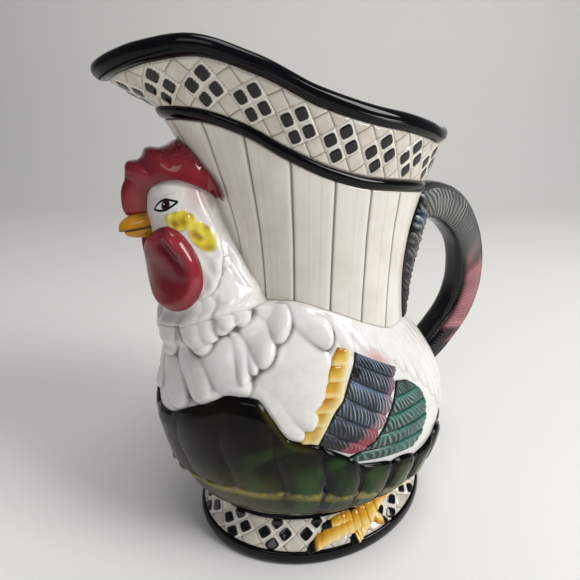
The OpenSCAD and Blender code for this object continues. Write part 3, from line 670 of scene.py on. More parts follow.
def foot():
    """Flared foot: the lattice raised on its slope, as whole blocks round its middle."""
    groups, first, cell_rise, middle = 16, 3.1, 5.4, 0.53
    rows = 76
    z = np.linspace(ring_height, foot_height, rows)[:, None]
    points = place(foot_r(turn, z), turn, z + 0 * turn)
    along, total, up = band_measure(points, middle)
    wide = total / groups / 4
    relief, groove, pale, black = lattice(along - first, up, (wide, cell_rise), (wide, -cell_rise))
    ends = fade(np.linspace(0, 1, rows), 0.06)[:, None]
    outer = raised(points, relief * ends - 0.15)
    inner = inner_rows(lambda h: foot_r(turn, h) - wall, (foot_height, ring_height))
    paint = masks(relief.shape, groove, pale, black)
    wall_ring("foot_lattice", "foot", "lattice_glaze", outer, inner, paint)


def waist():
    """Dark band between the foot and the belly, drawn in a little at its middle."""
    drawn_in = 1.2
    s = np.linspace(0, 1, 12)[:, None]
    z = mix(foot_height, waist_height, s)
    low, high = foot_r(turn, foot_height), belly_r(turn, 0)
    middle = np.sin(np.pi * s)
    outer = place(mix(low, high, s) - drawn_in * middle, turn, z + 0 * turn)
    inner = inner_rows(lambda h: low - wall, (waist_height, foot_height))
    # Painted bluish highlight along the band's drawn-in middle
    paint = masks(outer.shape[:2], 0.3 * middle)
    wall_ring("dark_waist", "waist_band", "black_glaze", outer, inner, paint)


# Feathers of the body by plan angle: root angle and height, tip angle and height, width, height, bend
body_plumes = [
    [174.7, 116, 163, 93, 15, 2.75, 0], [186, 118, 180, 92, 15, 2.5, 0],
    [166.6, 122, 152.8, 100, 13, 3, 1], [157, 114, 147.5, 99, 9, 2.5, 0],
    [158, 130, 140.5, 106, 17, 3.5, -1],
    [137.5, 112, 120.5, 86, 15, 2.75, 0], [131.5, 112, 114.5, 93, 13, 2.875, 0],
    [134, 131, 112, 98, 33, 2.125, 0],
    [148.6, 130, 141.3, 110.5, 7.5, 4.25, 1], [146.3, 128, 138.2, 115.5, 6.5, 3.75, 0.5],
    [146, 137, 134.5, 118.5, 13, 4.5, 1],
    [173, 140, 173.5, 114, 13, 3.5, 0], [186, 142, 184, 116, 13, 3.25, 0],
    [164.5, 146, 157.5, 120.5, 12, 4.5, 0.5], [159, 146, 155, 127, 8.5, 3.75, 0],
    [155.5, 144, 151.3, 131, 7, 3.25, 0],
    [155.5, 152, 150.3, 132.5, 8, 4, 0.5], [152, 150, 146.6, 134, 7, 3.25, 0.5],
    [143, 143, 129.3, 128.5, 14, 4, 1], [131, 142, 108, 125.8, 13, 3.75, 1.5],
    [110, 139, 97, 121, 8, 1.08, 0.6], [101, 136, 87.5, 119.5, 6.5, 0.84, 0.6],
    [94, 134, 80, 116.5, 6.5, 0.84, 0.8], [86, 131, 72, 112, 7, 0.9, 1],
    [78, 129, 66, 104.5, 7, 0.9, 1.2], [71, 127, 59, 98, 7, 0.9, 1.4],
    [64, 125, 52.5, 92, 7, 0.9, 1.5], [57, 123, 47, 84, 7, 0.9, 1.6],
    [50, 122, 42, 76, 7, 0.84, 1.6], [43, 121, 37, 70, 7, 0.84, 1.4],
    [36, 121, 31, 66, 7, 0.84, 1.2], [29, 121, 25, 63, 7, 0.84, 0.9],
    [22, 121, 19, 62, 7, 0.78, 0.6], [15, 121, 13, 61, 7, 0.78, 0.3], [8, 121, 6.5, 60, 7, 0.78, 0.2],
    [1, 121, 0, 60, 6, 0.78, 0],
]
# Front and back edges of the whole wing: height and plan angle
wing_front = [[66, 121], [86, 118], [98, 114.5], [110.7, 110], [122, 103]]
wing_back = [[66, 74], [68, 72], [80, 52.5], [91.5, 55], [102.5, 66], [105, 70], [116.5, 78], [122, 90]]


def body_feathers(f, z):
    """Height of the body's overlapping feathers at a folded plan angle and a height."""
    return feathers(f * body_degree, z, in_millimetres(body_plumes, body_degree))


def body_relief(a, s):
    """Relief of the body: its feathers, lower under the wing, the leaves and the planks."""
    z = mix(waist_height, shoulder_z(a), s)
    f = fold(a)
    behind, before = curve(wing_back, z), curve(wing_front, z)
    wing = step(behind - 1, behind + 2, f) * step(before + 1, before - 2, f)
    wing = wing * step(67, 71, z) * step(wing_top, wing_top - 3, z)
    leaf = leaf_top * curve(leaf_shares, f)
    height = body_feathers(f, z) * (1 - 0.85 * wing) * step(leaf - 2, leaf + 3, z)
    by_planks = step(128, 112, f) * step(0.95, 1.0, s)
    return (height + feather_bed) * step(0.02, 0.1, s) * (1 - by_planks)


def body():
    """Belly and shoulder: one relief cut at the body's widest, so that both follow the same feathers."""
    shares = np.concatenate([np.linspace(0, 0.2, 10)[:-1], np.linspace(0.2, 1, 180)])
    s = shares[:, None]
    z = mix(waist_height, shoulder_z(turn), s)
    relief = body_relief(turn, s)
    outer = raised(place(breast_reach(turn, s), turn, z), relief)
    blush_height, blush_half = 115.6, 5.5
    blush_turn = 83.4 + 1.1 * (z - blush_height)
    pink = 0.75 * hump(fold(turn) - blush_turn, blush_half) * hump(z - blush_height, blush_half)
    # Painted grey shade in the hollows between feathers, and a pink blush
    paint = masks(relief.shape, hollows(relief, 5, 0.75), pink)
    cut = int(np.argmin(np.abs(shares - belly_share)))
    widest = shares[cut]

    def cavity(share):
        """Inside of the wall at a share of its height: it closes in to the neck's own inside."""
        inner = neck_r(turn, shoulder_z(turn)) - wall
        r = mix(inner, belly_r(turn, share) - wall, curve(cavity_shares, share))
        return place(r, turn, mix(waist_height, shoulder_z(turn), share))[0]

    sill = place(foot_r(turn, foot_height) - wall, turn, waist_height + 0 * turn)[0]
    low_inner = np.stack([cavity(h) for h in np.linspace(widest, 0.06, 8)] + [sill])
    wall_ring("body_belly", "belly", "white_glaze", outer[:cut + 1], low_inner, paint[:cut + 1])
    top = shoulder_z(turn)
    r_top = np.maximum(breast_reach(turn, 1), neck_r(turn, top) + shoulder_step) + relief[-1:]
    lip = np.stack([place(neck_r(turn, top) + d, turn, top)[0] for d in (0, -wall)])
    high_inner = np.concatenate([lip, np.stack([cavity(h) for h in np.linspace(0.95, widest, 9)])])
    outer[-1] = place(r_top, turn, top)[0]
    wall_ring("body_shoulder", "shoulder", "white_glaze", outer[cut:], high_inner, paint[cut:])


def neck():
    """Planked neck: each plank is flat with a narrow groove beside it and a few faint grain lines."""
    s = np.concatenate([[0.0], np.linspace(0.004, 0.996, 90), [1.0]])[:, None]
    low, high = shoulder_z(turn), bead_z(turn) - bead_height
    z = mix(low, high, s)
    f = fold(turn)
    left = np.clip(np.searchsorted(plank_grooves, f, side="right") - 1, 0, len(plank_grooves) - 2)
    u = (f - plank_grooves[left]) / (plank_grooves[left + 1] - plank_grooves[left])
    number = left + 1 + len(plank_grooves) * (turn > 0)
    crown = 1 - np.abs(2 * u - 1) ** 22
    grain = np.zeros(u.shape) + 0 * z
    for k, deep in enumerate((0.03, 0.05, 0.02)):
        where = 0.2 + 0.6 * scatter(number * (12.9 + k), 43.7)
        wander = 0.015 * np.sin(z / (21 + 6 * k) + number)
        grain = grain + deep * hump(u - where - wander, 0.035)
    relief = (plank_crown * crown - 0.12 * u - grain) * fade(s, 0.004)
    outer = place(neck_r(turn, z) + relief, turn, z)
    inner = inner_rows(lambda h: neck_r(turn, h) - wall, [mix(low, high, k) for k in (1, 0.75, 0.5, 0.25, 0)])
    groove = step(0.9, 1, np.abs(2 * u - 1)) + 0 * z
    # Grey in the grooves and grain lines, and a painted highlight strip just beside each groove
    paint = masks(relief.shape, groove + grain * 1.3, 0.4 * hump(u - 0.1, 0.08))
    wall_ring("neck_planks", "neck", "plank_glaze", outer, inner, paint)


def bead():
    """Black bead under the collar: half a round moulding."""
    v = np.linspace(0, 1, 18)[:, None]
    low, high = bead_z(turn) - bead_height, bead_z(turn)
    z = high - bead_height * (1 - v)
    out = bead_out * np.sqrt(np.clip(1 - (2 * v - 1) ** 2, 0, 1))
    outer = place(neck_r(turn, z) + out, turn, z)
    inner = inner_rows(lambda h: neck_r(turn, h) - wall, (high, low))
    wall_ring("black_bead", "collar_bead", "black_glaze", outer, inner, masks(outer.shape[:2]))


def collar():
    """Lattice collar: slanted blocks round its middle row, on a wall drawn out into the spout."""
    groups, first, spacing = 21, 3.54, 17.06
    rows, columns = 88, 1060
    a = np.arange(columns)[None, :] * 360.0 / columns - 180
    end = collar_end(a)
    u = np.linspace(0, 1, rows)[:, None] * end
    points = place(collar_r(a, u), a, mix(bead_z(a), rim_z(a), u))
    along, total, up = band_measure(points, 0.5)
    even = total / groups / spacing
    relief, groove, pale, black = lattice(along - first, up, (5.93 * even, 4.7), (2.6 * even, -4.7))
    outer = raised(points, relief * fade(np.linspace(0, 1, rows), 0.05)[:, None])
    inner = np.stack([
        place(collar_r(a, k * end) - wall, a, mix(bead_z(a), rim_z(a), k * end))[0] for k in (1, 0.5, 0)
    ])
    paint = masks(relief.shape, groove, pale, black)
    wall_ring("collar_lattice", "collar", "lattice_glaze", outer, inner, paint)


def rim():
    """Rolled rim: a round roll set square to the collar's wall, carried round the brim and down inside."""
    end = collar_end(turn)
    mid = (wall + rim_out) / 2
    roll_from = 0.45
    lead = np.linspace(0, 90, 8)[:, None] * DEG
    over = np.linspace(0, 180, 20)[:, None] * DEG
    out = np.concatenate([rim_out * np.sin(lead), rim_out - mid + mid * np.cos(over)])
    v = np.concatenate([np.linspace(0, roll_from, 8)[:, None], roll_from + (1 - roll_from) * np.sin(over)])

    def wall_at(k):
        """Collar's wall at a share of the way from the roll's foot to the brim."""
        u = mix(end, 1, k)
        return place(collar_r(turn, u), turn, mix(bead_z(turn), rim_z(turn), u))

    square = normals(wall_at(np.linspace(0, 1, 12)[:, None]))[6]
    outer = wall_at(v) + square * out[..., None]
    low = wall_at(np.zeros((1, 1))) - place(wall, turn, 0 * turn)
    inner = np.concatenate([wall_at(np.full((1, 1), 0.3)) - 0.85 * wall * square, low])
    wall_ring("rolled_rim", "rim", "black_glaze", outer, inner, masks(outer.shape[:2], 0.2))


# Rooster

def angle_of(p):
    """Plan angle of points."""
    return np.degrees(np.arctan2(p[..., 1], p[..., 0]))


def clear_of_neck(a, z):
    """Reach at which an applied piece clears the planks by the slip joint."""
    return neck_r(a, z) + plank_crown + slip


def kept(p, least=0.9):
    """Points held at least a thin edge clear of the planks."""
    a = angle_of(p)
    reach = np.hypot(p[..., 0], p[..., 1])
    return place(np.maximum(reach, clear_of_neck(a, p[..., 2]) + least), a, p[..., 2])


def bust(low, high, rows, columns):
    """Grid on the rooster's skin between two heights: turns t, and points.

    The lower height depends on the plan angle that a point ends up at, so it is found by repeating.
    """
    s = np.linspace(0, 1, rows)[:, None]
    u = np.linspace(-1, 1, columns)[None, :]
    z = mix(rooster_low, high, s) + 0 * u
    for _ in range(12):
        guess = skin(u * curve(rooster_turns, rooster_s(z)), z)
        z = mix(z, mix(low(angle_of(guess)), high, s), 0.7)
    t = u * curve(rooster_turns, rooster_s(z))
    return t, z, kept(skin(t, z))


def backed(points):
    """Unseen back of a piece on the planks: the same grid, sunk in the neck's wall."""
    a = angle_of(points)
    return place(clear_of_neck(a, points[..., 2]) - sunk, a, points[..., 2])


# Edge of the cape that hangs from the cheek: height and turn round the rooster
cape_edge = [
    [140, 44], [144, 60], [147.7, 73], [152.2, 83], [157.9, 93], [163.7, 103], [169.5, 110],
    [175.2, 110], [182, 106], [190, 104],
]
# Strands of the hackle by turn: root turn and height, tip turn and height, width, height, bend
hackle_plumes = [
    [118, 166, 108, 145, 7, 2.2, 0.6], [128, 178, 121, 150, 6, 1.6, 0.6], [108, 158, 88, 134, 8, 2.4, 0.6],
    [96, 152, 76, 131, 6, 2.4, 0.5], [80, 150, 66, 129, 9, 2.6, 0.6],
    [52, 152, 46, 131, 11, 2.0, 0], [26, 150, 24, 126, 12, 1.8, 0], [0, 152, 0, 127, 12, 1.8, 0],
]


def cape(t, z):
    """Cheek feathers that overlap the hackle: high inside the edge, round towards it, nought outside."""
    gap = (curve(cape_edge, z) - np.abs(t)) * rooster_r(z) * DEG
    swell = 1.0 + 1.1 * np.exp(-((gap - 2.6) / 2.4) ** 2)
    return step(0, 1.4, gap) * swell * step(142, 148, z) * step(196, 176, z)


def folds(t, z):
    """Relief of the hackle: strands under the cape, and soft grooves that run down it."""
    x = np.abs(t) * hackle_degree
    strands = feathers(x, z, in_millimetres(hackle_plumes, hackle_degree))
    ripples = 0.15 * np.sin(x * 1.1 + z * 0.14) * step(120, 145, z) * step(185, 170, z)
    return np.maximum(strands, cape(t, z)) + ripples


def hackle():
    """Hackle: strands that hang from the throat and run into the body's own feathers at its foot."""
    columns = 320
    t, z, points = bust(shoulder_z, throat_height, 120, columns)
    sides = step(1.0, 0.9, np.abs(np.linspace(-1, 1, columns)))[None, :]
    a = angle_of(points)
    above = z - shoulder_z(a)
    strands = folds(t, z) * step(0, 12, above)
    relief = (np.maximum(strands, body_feathers(fold(a), z)) + feather_bed) * sides
    front = raised(points, relief, False)
    a = angle_of(front)
    top = shoulder_z(a)
    body_top = np.maximum(breast_reach(a, 1), neck_r(a, top) + shoulder_step)
    body_top = body_top + (body_feathers(fold(a), top) + feather_bed) * step(112, 128, fold(a))
    joined, tucked = step(6, 0.5, above), step(1.2, 0, above)
    reach = mix(np.hypot(front[..., 0], front[..., 1]), body_top, joined) - 0.5 * tucked
    level = mix(front[..., 2], top + above, joined) - 1.2 * tucked
    # Painted grey shade in the hollows between strands
    paint = masks(relief.shape, hollows(relief, 5, 0.8, False))
    shell("hackle_feathers", "hackle", "white_glaze", place(reach, a, level), backed(points), paint)


def face_relief(t, z):
    """Modelling of the head: brow, cheek, sunk eye, pitted ear patch and the cape's upper part."""
    side = np.abs(t)
    brow = 0.9 * spot(side, z, 50, 188.5, 26, 2.6)
    socket = -0.5 * spot(side, z, 52, 182.5, 20, 3.6)
    cheek = 0.8 * spot(side, z, 62, 175.5, 24, 4)
    crease = -0.5 * spot(side, z, 84 + (z - 186) * 1.5, 186, 7, 3)
    lumps = 0.25 * np.sin(side * 0.31 + z * 0.5) * np.sin(z * 0.9 - side * 0.2)
    patch = (lumps + 0.5 - 0.7 * dabs(side, z, 0.8)) * ear(t, z)
    return brow + socket + cheek + crease + patch + cape(t, z)


def ear(t, z):
    """Yellow ear patch: 1 inside two bean-shaped lobes on either side."""
    side = np.abs(t)
    upper = ((side - 69) / 19) ** 2 + ((z - 176.7) / 4.2) ** 2
    lower = ((side - 87) / 14) ** 2 + ((z - 170) / 6.6) ** 2
    return step(1.25, 0.6, np.minimum(upper, lower))


def dabs(side, z, size):
    """Sum of the ear patch's round dabs, each size times its own radius."""
    return sum(
        np.exp(-(((side - middle) * face_degree) ** 2 + (z - level) ** 2) / (size * radius) ** 2)
        for middle, level, radius in ear_dabs
    )


# Ochre dabs on the ear patch: turn, height and radius
ear_dabs = [
    (60.5, 175.2, 1.6), (69.5, 176.3, 2.0), (82, 178.9, 1.5), (77.8, 171.2, 1.8),
    (97.2, 173.5, 1.5), (85.8, 165.2, 1.8), (82.8, 169.5, 1.4),
]


def head():
    """Head: the face's modelling over the throat's strands, with blush, ear patch and ochre dabs."""
    columns = 340
    t, z, points = bust(lambda a: throat_height + 0 * a, head_top, 180, columns)
    share = np.abs(np.linspace(-1, 1, columns))[None, :]
    join = step(9, 0.5, z - throat_height)
    relief = mix(face_relief(t, z), folds(t, z) + feather_bed, join) * step(1.0, 0.9, share)
    side = np.abs(t)
    blush = 0.5 * spot(side, z, 95, 186, 16, 6) + 0.35 * spot(side, z, 22, 176, 10, 4)
    patch = ear(t, z)
    ochre = np.clip(dabs(side, z, 1), 0, 1) * patch
    # Painted grey shade in the hollows outside the ear patch, then blush, ochre dabs and the ear patch
    paint = masks(
        relief.shape, hollows(relief, 3, 0.8, False) * (1 - patch), blush * (1 - patch),
        0.8 * ochre, 0.95 * patch,
    )
    front = raised(points, relief, False)
    shell("rooster_head", "head", "white_glaze", front, backed(points), paint, "head_paint")


def eye(side):
    """Painted eye: an almond outline of two arcs round a maroon iris and a black pupil."""
    u = np.linspace(-1, 1, 140)[None, :]
    v = np.linspace(-1, 1, 80)[:, None]
    middle_turn, half_turn, middle_height, half_long, half_tall = 51.2, 19.5, 182.2, 5.3, 3.4
    t = middle_turn + half_turn * u + 0 * v
    z = middle_height + half_tall * v + 1.7 * u
    surface = skin(t, z)
    lift = face_relief(t, z)
    bulge = 0.25 * np.clip(1 - u ** 2 - v ** 2, 0, 1)
    front = raised(surface, lift + 0.22 + bulge, False)
    back = raised(surface, lift + 0.22 - sunk, False)
    lid = 1 - (np.abs(u) / 0.93) ** mix(2.2, 1.25, step(-0.2, 0.4, u))
    inside = np.minimum(0.66 * lid - v, v + 0.46 * lid)
    line = step(-0.2, -0.11, inside) * step(0.17, 0.08, inside) * step(1, 0.95, np.abs(u))
    x, y = u * half_long - 0.2, v * half_tall - 0.25
    far = np.hypot(x, y)
    open_eye = step(0.03, 0.1, inside)
    iris = step(1.9, 1.7, far) * open_eye
    pupil = step(1.25, 0.95, far) * open_eye
    glint = step(0.4, 0.2, np.hypot(x + 0.6, y - 0.5))
    black = np.clip(line + pupil, 0, 1) * (1 - glint)
    paint = masks(inside.shape, black, iris * (1 - glint), step(-0.1, 0.0, inside))
    front, back = mirrored(side, front, back)
    shell("painted_eye_" + side_name(side), "head", "white_glaze", front, back, paint, "eye_paint")


# Comb's crest in the middle plane, then along the planks, and its lower edge on the head.
# Rows: share along it, reach ahead, sideways, height; and turn and height of the lower edge
crest_line = [
    [0, -88.4, 0, 177], [0.06, -89.5, 0, 179.5], [0.12, -89.7, 0, 182.5], [0.18, -89.4, 0, 186.2],
    [0.235, -88.5, 0, 189.2], [0.28, -87.3, 0, 191.6], [0.325, -86.9, 0, 194], [0.365, -86.6, 0, 196.6],
    [0.41, -85, 0, 198.7], [0.46, -81.6, 0, 199.1], [0.5, -79.7, 0, 200.6], [0.54, -78.4, 0, 203.2],
    [0.59, -76, 0, 204], [0.63, -73, 0, 203.7], [0.67, -70.1, 0, 204.4], [0.73, -65.7, 0, 206.6],
    [0.8, -62.6, -8, 203.9], [0.87, -58.8, -14.5, 197.8], [0.94, -54.5, -19.2, 190.6], [1, -52, -20.8, 183.6],
]
skirt_line = [
    [0, 2, 177], [0.1, 4, 180.5], [0.18, 8, 184], [0.26, 13, 186.2], [0.36, 24, 188.4], [0.46, 39, 190.2],
    [0.54, 52, 191.5], [0.64, 70, 191.9], [0.75, 90.5, 190.4], [0.84, 106, 188.4], [0.92, 118, 186.2],
    [1, 130, 183.4],
]
# Shallow notches between the comb's points: share along it and depth
comb_notches = [(0.3, 0.6), (0.47, 1), (0.63, 0.6)]


def comb():
    """Comb: for each share along it an arc from the lower edge over the crest to the other side.

    Sideways the arc follows a cosine and upwards a sine of its angle, so that it swells like a dome.
    """
    q = np.linspace(0, 1, 200)[:, None]
    bend = np.linspace(0, 90, 60)[None, :] * DEG
    crest = np.stack([curve(crest_line, q, k) for k in (1, 2, 3)], axis=-1)
    t, z = curve(skirt_line, q, 1), curve(skirt_line, q, 2)
    skirt = skin(t, z, 0.4)
    thick = skin(t, z, 2.4 * step(0, 0.1, q) * step(1, 0.93, q))
    half = comb_half * np.sqrt(np.clip(q / 0.05, 0, 1))
    thick[..., 1] = -np.hypot(thick[..., 1], half)
    across, up = np.cos(bend) ** 0.8, np.sin(bend)
    x = mix(skirt[..., 0], crest[..., 0], up)
    y = mix(crest[..., 1], thick[..., 1], across)
    level = mix(skirt[..., 2], crest[..., 2], up)
    left = np.stack(np.broadcast_arrays(x, y, level), axis=-1)
    left[:, 0] = skirt[:, 0]
    notch = sum(np.exp(-((q - at) / 0.02) ** 2) * deep for at, deep in comb_notches)
    pinch = 1 - 0.16 * notch * step(0.3, 0.95, up)
    left[..., 1] = left[..., 1] * np.where(q < 0.7, pinch, 1)
    left = np.concatenate([left, left[:, -1:] * [1, 0, 1]], axis=1)
    right = left[:, ::-1] * [1, -1, 1]
    core = skin(t, z)[:, 0] * [1, 0, 1] + [4, 0, -1]
    loop = np.concatenate([left, right[:, 1:], core[:, None]], axis=1)
    # Painted shade in the notches and along the comb's foot, and a painted highlight band on its sides
    dark = 0.3 * notch * step(0.3, 0.95, up) + 0.5 * step(0.12, 0, up)
    light = 0.35 * step(0.15, 0.4, up) * step(0.95, 0.6, up)
    half_paint = masks(dark.shape, dark, light)
    side = np.concatenate([half_paint, half_paint[:, -1:]], axis=1)
    paint = np.concatenate([side, side[:, ::-1][:, 1:], side[:, :1]], axis=1)
    tube("crimson_comb", "comb", "comb_glaze", loop, paint)


# Beak by share of its length: height over the mouth line, depth under it, and share of its half width
beak_shares = [
    [0, 5, 6, 1], [0.3, 5.6, 5.4, 0.93], [0.6, 5.4, 4.4, 0.78], [0.8, 4.5, 3.4, 0.6],
    [0.91, 3.4, 2.4, 0.45], [0.97, 2.2, 1.4, 0.29], [1, 0.05, 0.05, 0.02],
]


def mouth_z(s):
    """Line between the halves of the beak: it falls towards the tip."""
    return beak_height + 0.6 - 2.9 * s


def beak_half(name, node, up, ahead):
    """Half of the beak: half-ellipse sections that shrink to the blunt tip, flat at the mouth."""
    mouth_gap, root_sunk = 0.08, 2.5
    s = np.sin(np.linspace(0, 90, 70) * DEG)[:, None]
    arch = np.linspace(0, 180, 56)[None, :] * DEG
    rise = np.sin(arch)
    high = curve(beak_shares, s, 1 if up > 0 else 2)
    y = beak_half_width * curve(beak_shares, s, 3) * np.cos(arch)
    z = mouth_z(s) + up * (mouth_gap + high * rise ** 0.85)
    root = rooster_out(z) + np.sqrt(np.maximum(rooster_r(z) ** 2 - y * y, 0)) - root_sunk
    reach = rooster_out(beak_height) + ahead
    front = np.stack(np.broadcast_arrays(-mix(root, reach, s), y, z), axis=-1)
    flat = front[:, ::-1][:, 1:-1].copy()
    flat[..., 2] = mouth_z(s)
    lip = step(0.1, 0.02, rise)
    nostril = spot(s, rise, 0.4, 0.8, 0.12, 0.09) * (up > 0)
    # Brown mouth line and nostril, and a painted highlight along the middle of each half
    paint = masks(front.shape[:2], lip + nostril, 0.5 * step(0.4, 0.9, rise))
    paint = np.concatenate([paint, masks(flat.shape[:2], 1.0)], axis=1)
    loop = np.concatenate([front, flat], axis=1)
    mesh(name, loop, quads(*loop.shape[:2], False, True), paint, node, "beak_glaze")


# Wattle by share of its height: middle turn and half turn on the rooster
wattle_shares = [
    [0, 27, 30], [0.12, 27, 34], [0.3, 29.5, 35.5], [0.5, 33, 36.5], [0.7, 38, 37], [0.85, 43, 36],
    [1, 50, 34],
]
# Fold down the wattle: height and turn
wattle_fold = [[159, 52], [162.6, 50], [165, 47], [168, 44.6], [172, 43]]


def wattle(side):
    """Wattle: a round pad on the rooster's skin, rolled at its edge, hollow in its middle and folded."""
    name = "wattle_" + side_name(side)
    far = np.sin(np.linspace(0, 90, 70) * DEG)[:, None]
    way = np.linspace(0, 360, 160, endpoint=False)[None, :] * DEG
    across, up = far * np.cos(way), far * np.sin(way)
    s = (up + 1) / 2
    z = mix(wattle_low, wattle_high, s)
    t = curve(wattle_shares, s, 1) + across * curve(wattle_shares, s, 2)
    dip = np.exp(-((t - curve(wattle_fold, z)) / 7) ** 2) * step(155, 162, z) * step(176, 172, z)
    bowl = spot(t, z, 36, 154.5, 17, 7)
    roll = np.exp(-((far - 0.8) / 0.14) ** 2)
    pad = wattle_thick * (1 - far ** 5) ** 0.5 * (0.86 + 0.14 * roll - 0.24 * bowl)
    rows = np.concatenate([skin(t, z, 0.5 + pad - 1.7 * dip), skin(t, z, -0.6)[::-1]])
    # Painted shade in the fold and the hollow, and a painted highlight on the rolled edge
    dark = 0.6 * dip + 0.3 * bowl
    paint = np.concatenate([masks(dark.shape, dark, 0.55 * roll), masks(dark.shape)])
    rows, = mirrored(side, rows)
    mesh("pad_" + name, rows, quads(*rows.shape[:2], False, True), paint, name, "comb_glaze")


# Leaves, wings and tail

# The solids' leaves: creases every three columns of the wall, from the second column on
leaf_turn, leaf_crease_turn = 16.875, 11.25
# Straw strip under the leaves: plan angle and height of its middle
straw_line = [
    [0, 38], [60, 41], [78, 45], [94, 50], [104, 52], [120, 56.5], [145, 57], [154, 55.5], [180, 54],
]
# How full a leaf is, by share of its height
leaf_full_shares = [[0, 0.1], [0.12, 0.55], [0.3, 0.9], [0.5, 1], [0.7, 0.95], [0.9, 0.8], [1, 0.1]]


def across_leaf(f):
    """Share across the leaf that a folded plan angle lies on."""
    return ((f - leaf_crease_turn) % leaf_turn) / leaf_turn


def leaf_band():
    """Band of broad leaves round the foot of the belly, with a straw strip and small knobs under them.

    Across a leaf the swell is a high power arch, and down it the leaf rises to its middle.
    """
    s = np.linspace(0, 1, 150)[:, None]
    f = fold(turn)
    by_wing, in_front = step(116, 106, f), step(118, 132, f)
    top = leaf_top * curve(leaf_shares, f) - 1.8 * np.abs(2 * across_leaf(f) - 1) ** 3 * by_wing
    low = waist_height + 2 + 0 * turn
    z = mix(low, top, s)
    points = place(belly_at(turn, z), turn, z)
    bow = 2.2 * np.sin(z * 0.09 + f * 0.02) * step(0.15, 0.5, s) * step(1, 0.7, s)
    w = across_leaf(f + bow)
    arch = 1 - mix(1, 0.3, step(122, 140, f)) * np.abs(2 * w - 1) ** 3
    swell = arch * np.clip(curve(leaf_full_shares, s), 0, 1)
    strip = curve(straw_line, f)
    over_strip = z - strip
    tuck = 1 - 0.7 * step(3, -2, over_strip)
    rise = leaf_crease - 0.6 + (leaf_thick - leaf_crease) * swell * tuck
    veins = np.sin(np.abs(w - 0.5) * 22 + z * 0.35 + np.sin(f * 0.4))
    ribs = 0.07 * veins * swell * (1 - 0.8 * in_front)
    knobs = 1.1 * hump(((f / 6.6) % 1) - 0.5, 0.32) * hump(over_strip - 1.5, 2.2) * step(84, 96, f)
    relief = 0.9 + (rise + ribs + knobs) * step(0, 0.04, s) * step(1.0, 0.975, s)
    # Painted near-black shade in the creases between leaves and in the hollows
    crease = step(0.6, 0.05, swell) * step(0.05, 0.2, s) * mix(1, 0.4, in_front)
    painted_shade = hollows(relief, 4, 1.0) + crease
    cloud = 0.5 + 0.5 * np.sin(f * 0.23 + z * 0.11 + 1.3 * np.sin(z * 0.17 - f * 0.06))
    thick_cloud = step(0.6, 1, cloud)
    green = np.maximum(
        0.95 * swell ** 3 * step(134, 124, f) * step(34, 8, over_strip) * (0.4 + 0.6 * cloud),
        0.5 * thick_cloud * step(150, 132, f) * step(34, 20, over_strip),
    )
    breast = 0.9 * step(124, 134, f) * step(18, 4, over_strip) * step(166, 150, f) * (0.5 + 0.5 * cloud)
    brim = 0.85 * step(top - 4.6, top - 1.2, z) * step(112, 120, f) * step(138, 132, f)
    rear = 0.45 * step(96, 84, f) * step(0.4, 0.9, swell) * step(26, 10, over_strip)
    olive = np.maximum(np.maximum(breast, brim), rear)
    wave = 3 + 1.2 * np.sin(f * 0.35)
    straw = 0.85 * step(wave, 0.6, over_strip) * step(-6, -2.5, over_strip) * (0.4 + 0.6 * cloud)
    straw = np.maximum(straw * step(60, 80, f), 0.9 * knobs)
    paint = masks(relief.shape, painted_shade, olive, straw, green)
    inner = inner_rows(lambda h: belly_at(turn, h) - sunk, (top, mix(low, top, 0.5), low))
    wall_ring("leaf_garland", "leaf_band", "leaf_glaze", raised(points, relief), inner, paint)


# Borders of the wing's parts and of the sprig by share down them: front plan angle and share of their
# height, then back plan angle and share
bar_borders = [
    [0, 105.6, 1.022, 98.8, 1.003], [0.17, 109.8, 0.966, 100.6, 0.955], [0.34, 112, 0.918, 102.6, 0.906],
    [0.5, 114.6, 0.873, 103.8, 0.857], [0.67, 117.6, 0.82, 108, 0.809], [0.84, 119.4, 0.775, 110.6, 0.76],
    [1, 121, 0.705, 114.2, 0.695],
]
fan_borders = [
    [0, 96.8, 0.995, 73.6, 0.9], [0.12, 98, 0.962, 76.5, 0.867], [0.28, 101, 0.916, 80, 0.813],
    [0.47, 103.8, 0.861, 83.8, 0.749], [0.67, 108, 0.806, 87.8, 0.698], [0.87, 112, 0.745, 93, 0.647],
    [1, 113.9, 0.688, 101, 0.63],
]
tips_borders = [
    [0, 75.2, 0.856, 68.5, 0.84], [0.2, 78.4, 0.803, 60.4, 0.788], [0.4, 82.8, 0.742, 56.6, 0.73],
    [0.6, 87.6, 0.678, 56.2, 0.664], [0.8, 97, 0.63, 58.5, 0.6], [1, 107, 0.6, 66, 0.54],
]
sprig_borders = [
    [0, 37, 1.28, 13, 1.25], [0.34, 43, 1.14, 21, 1.12], [0.67, 42, 1, 27, 0.99],
    [1, 38, 0.845, 32, 0.845],
]


def between(borders, height, rows, columns):
    """Grid between two borders: shares u down and v across, plan angles and heights."""
    u = np.linspace(1, 0, rows)[:, None]
    v = np.linspace(0, 1, columns)[None, :]
    a = mix(curve(borders, u, 1), curve(borders, u, 3), v)
    z = mix(curve(borders, u, 2), curve(borders, u, 4), v) * height
    return u, v, a, z


def sprig(side, kind, look, slot, a, z, reach, relief, paint):
    """Applied feathers: a raised sheet on a wall, mirrored for the right side. Look begins its name."""
    deep = 1.4
    points = place(reach(a, z), -a, z)
    front, back = (raised(points, lift, False) for lift in (relief, relief * 0 - deep))
    front, back = mirrored(side, front, back)
    node = kind + "_" + side_name(side)
    shell(look + "_" + node, node, slot, front, back, paint)


def brink(u, v, soft_u, soft_v):
    """Round edge all round a sheet: 0 on its border and 1 inside."""
    near = np.minimum(np.minimum(u, 1 - u) / soft_u, np.minimum(v, 1 - v) / soft_v)
    near = np.clip(near, 0, 1)
    return np.sqrt(1 - (1 - near) ** 2)


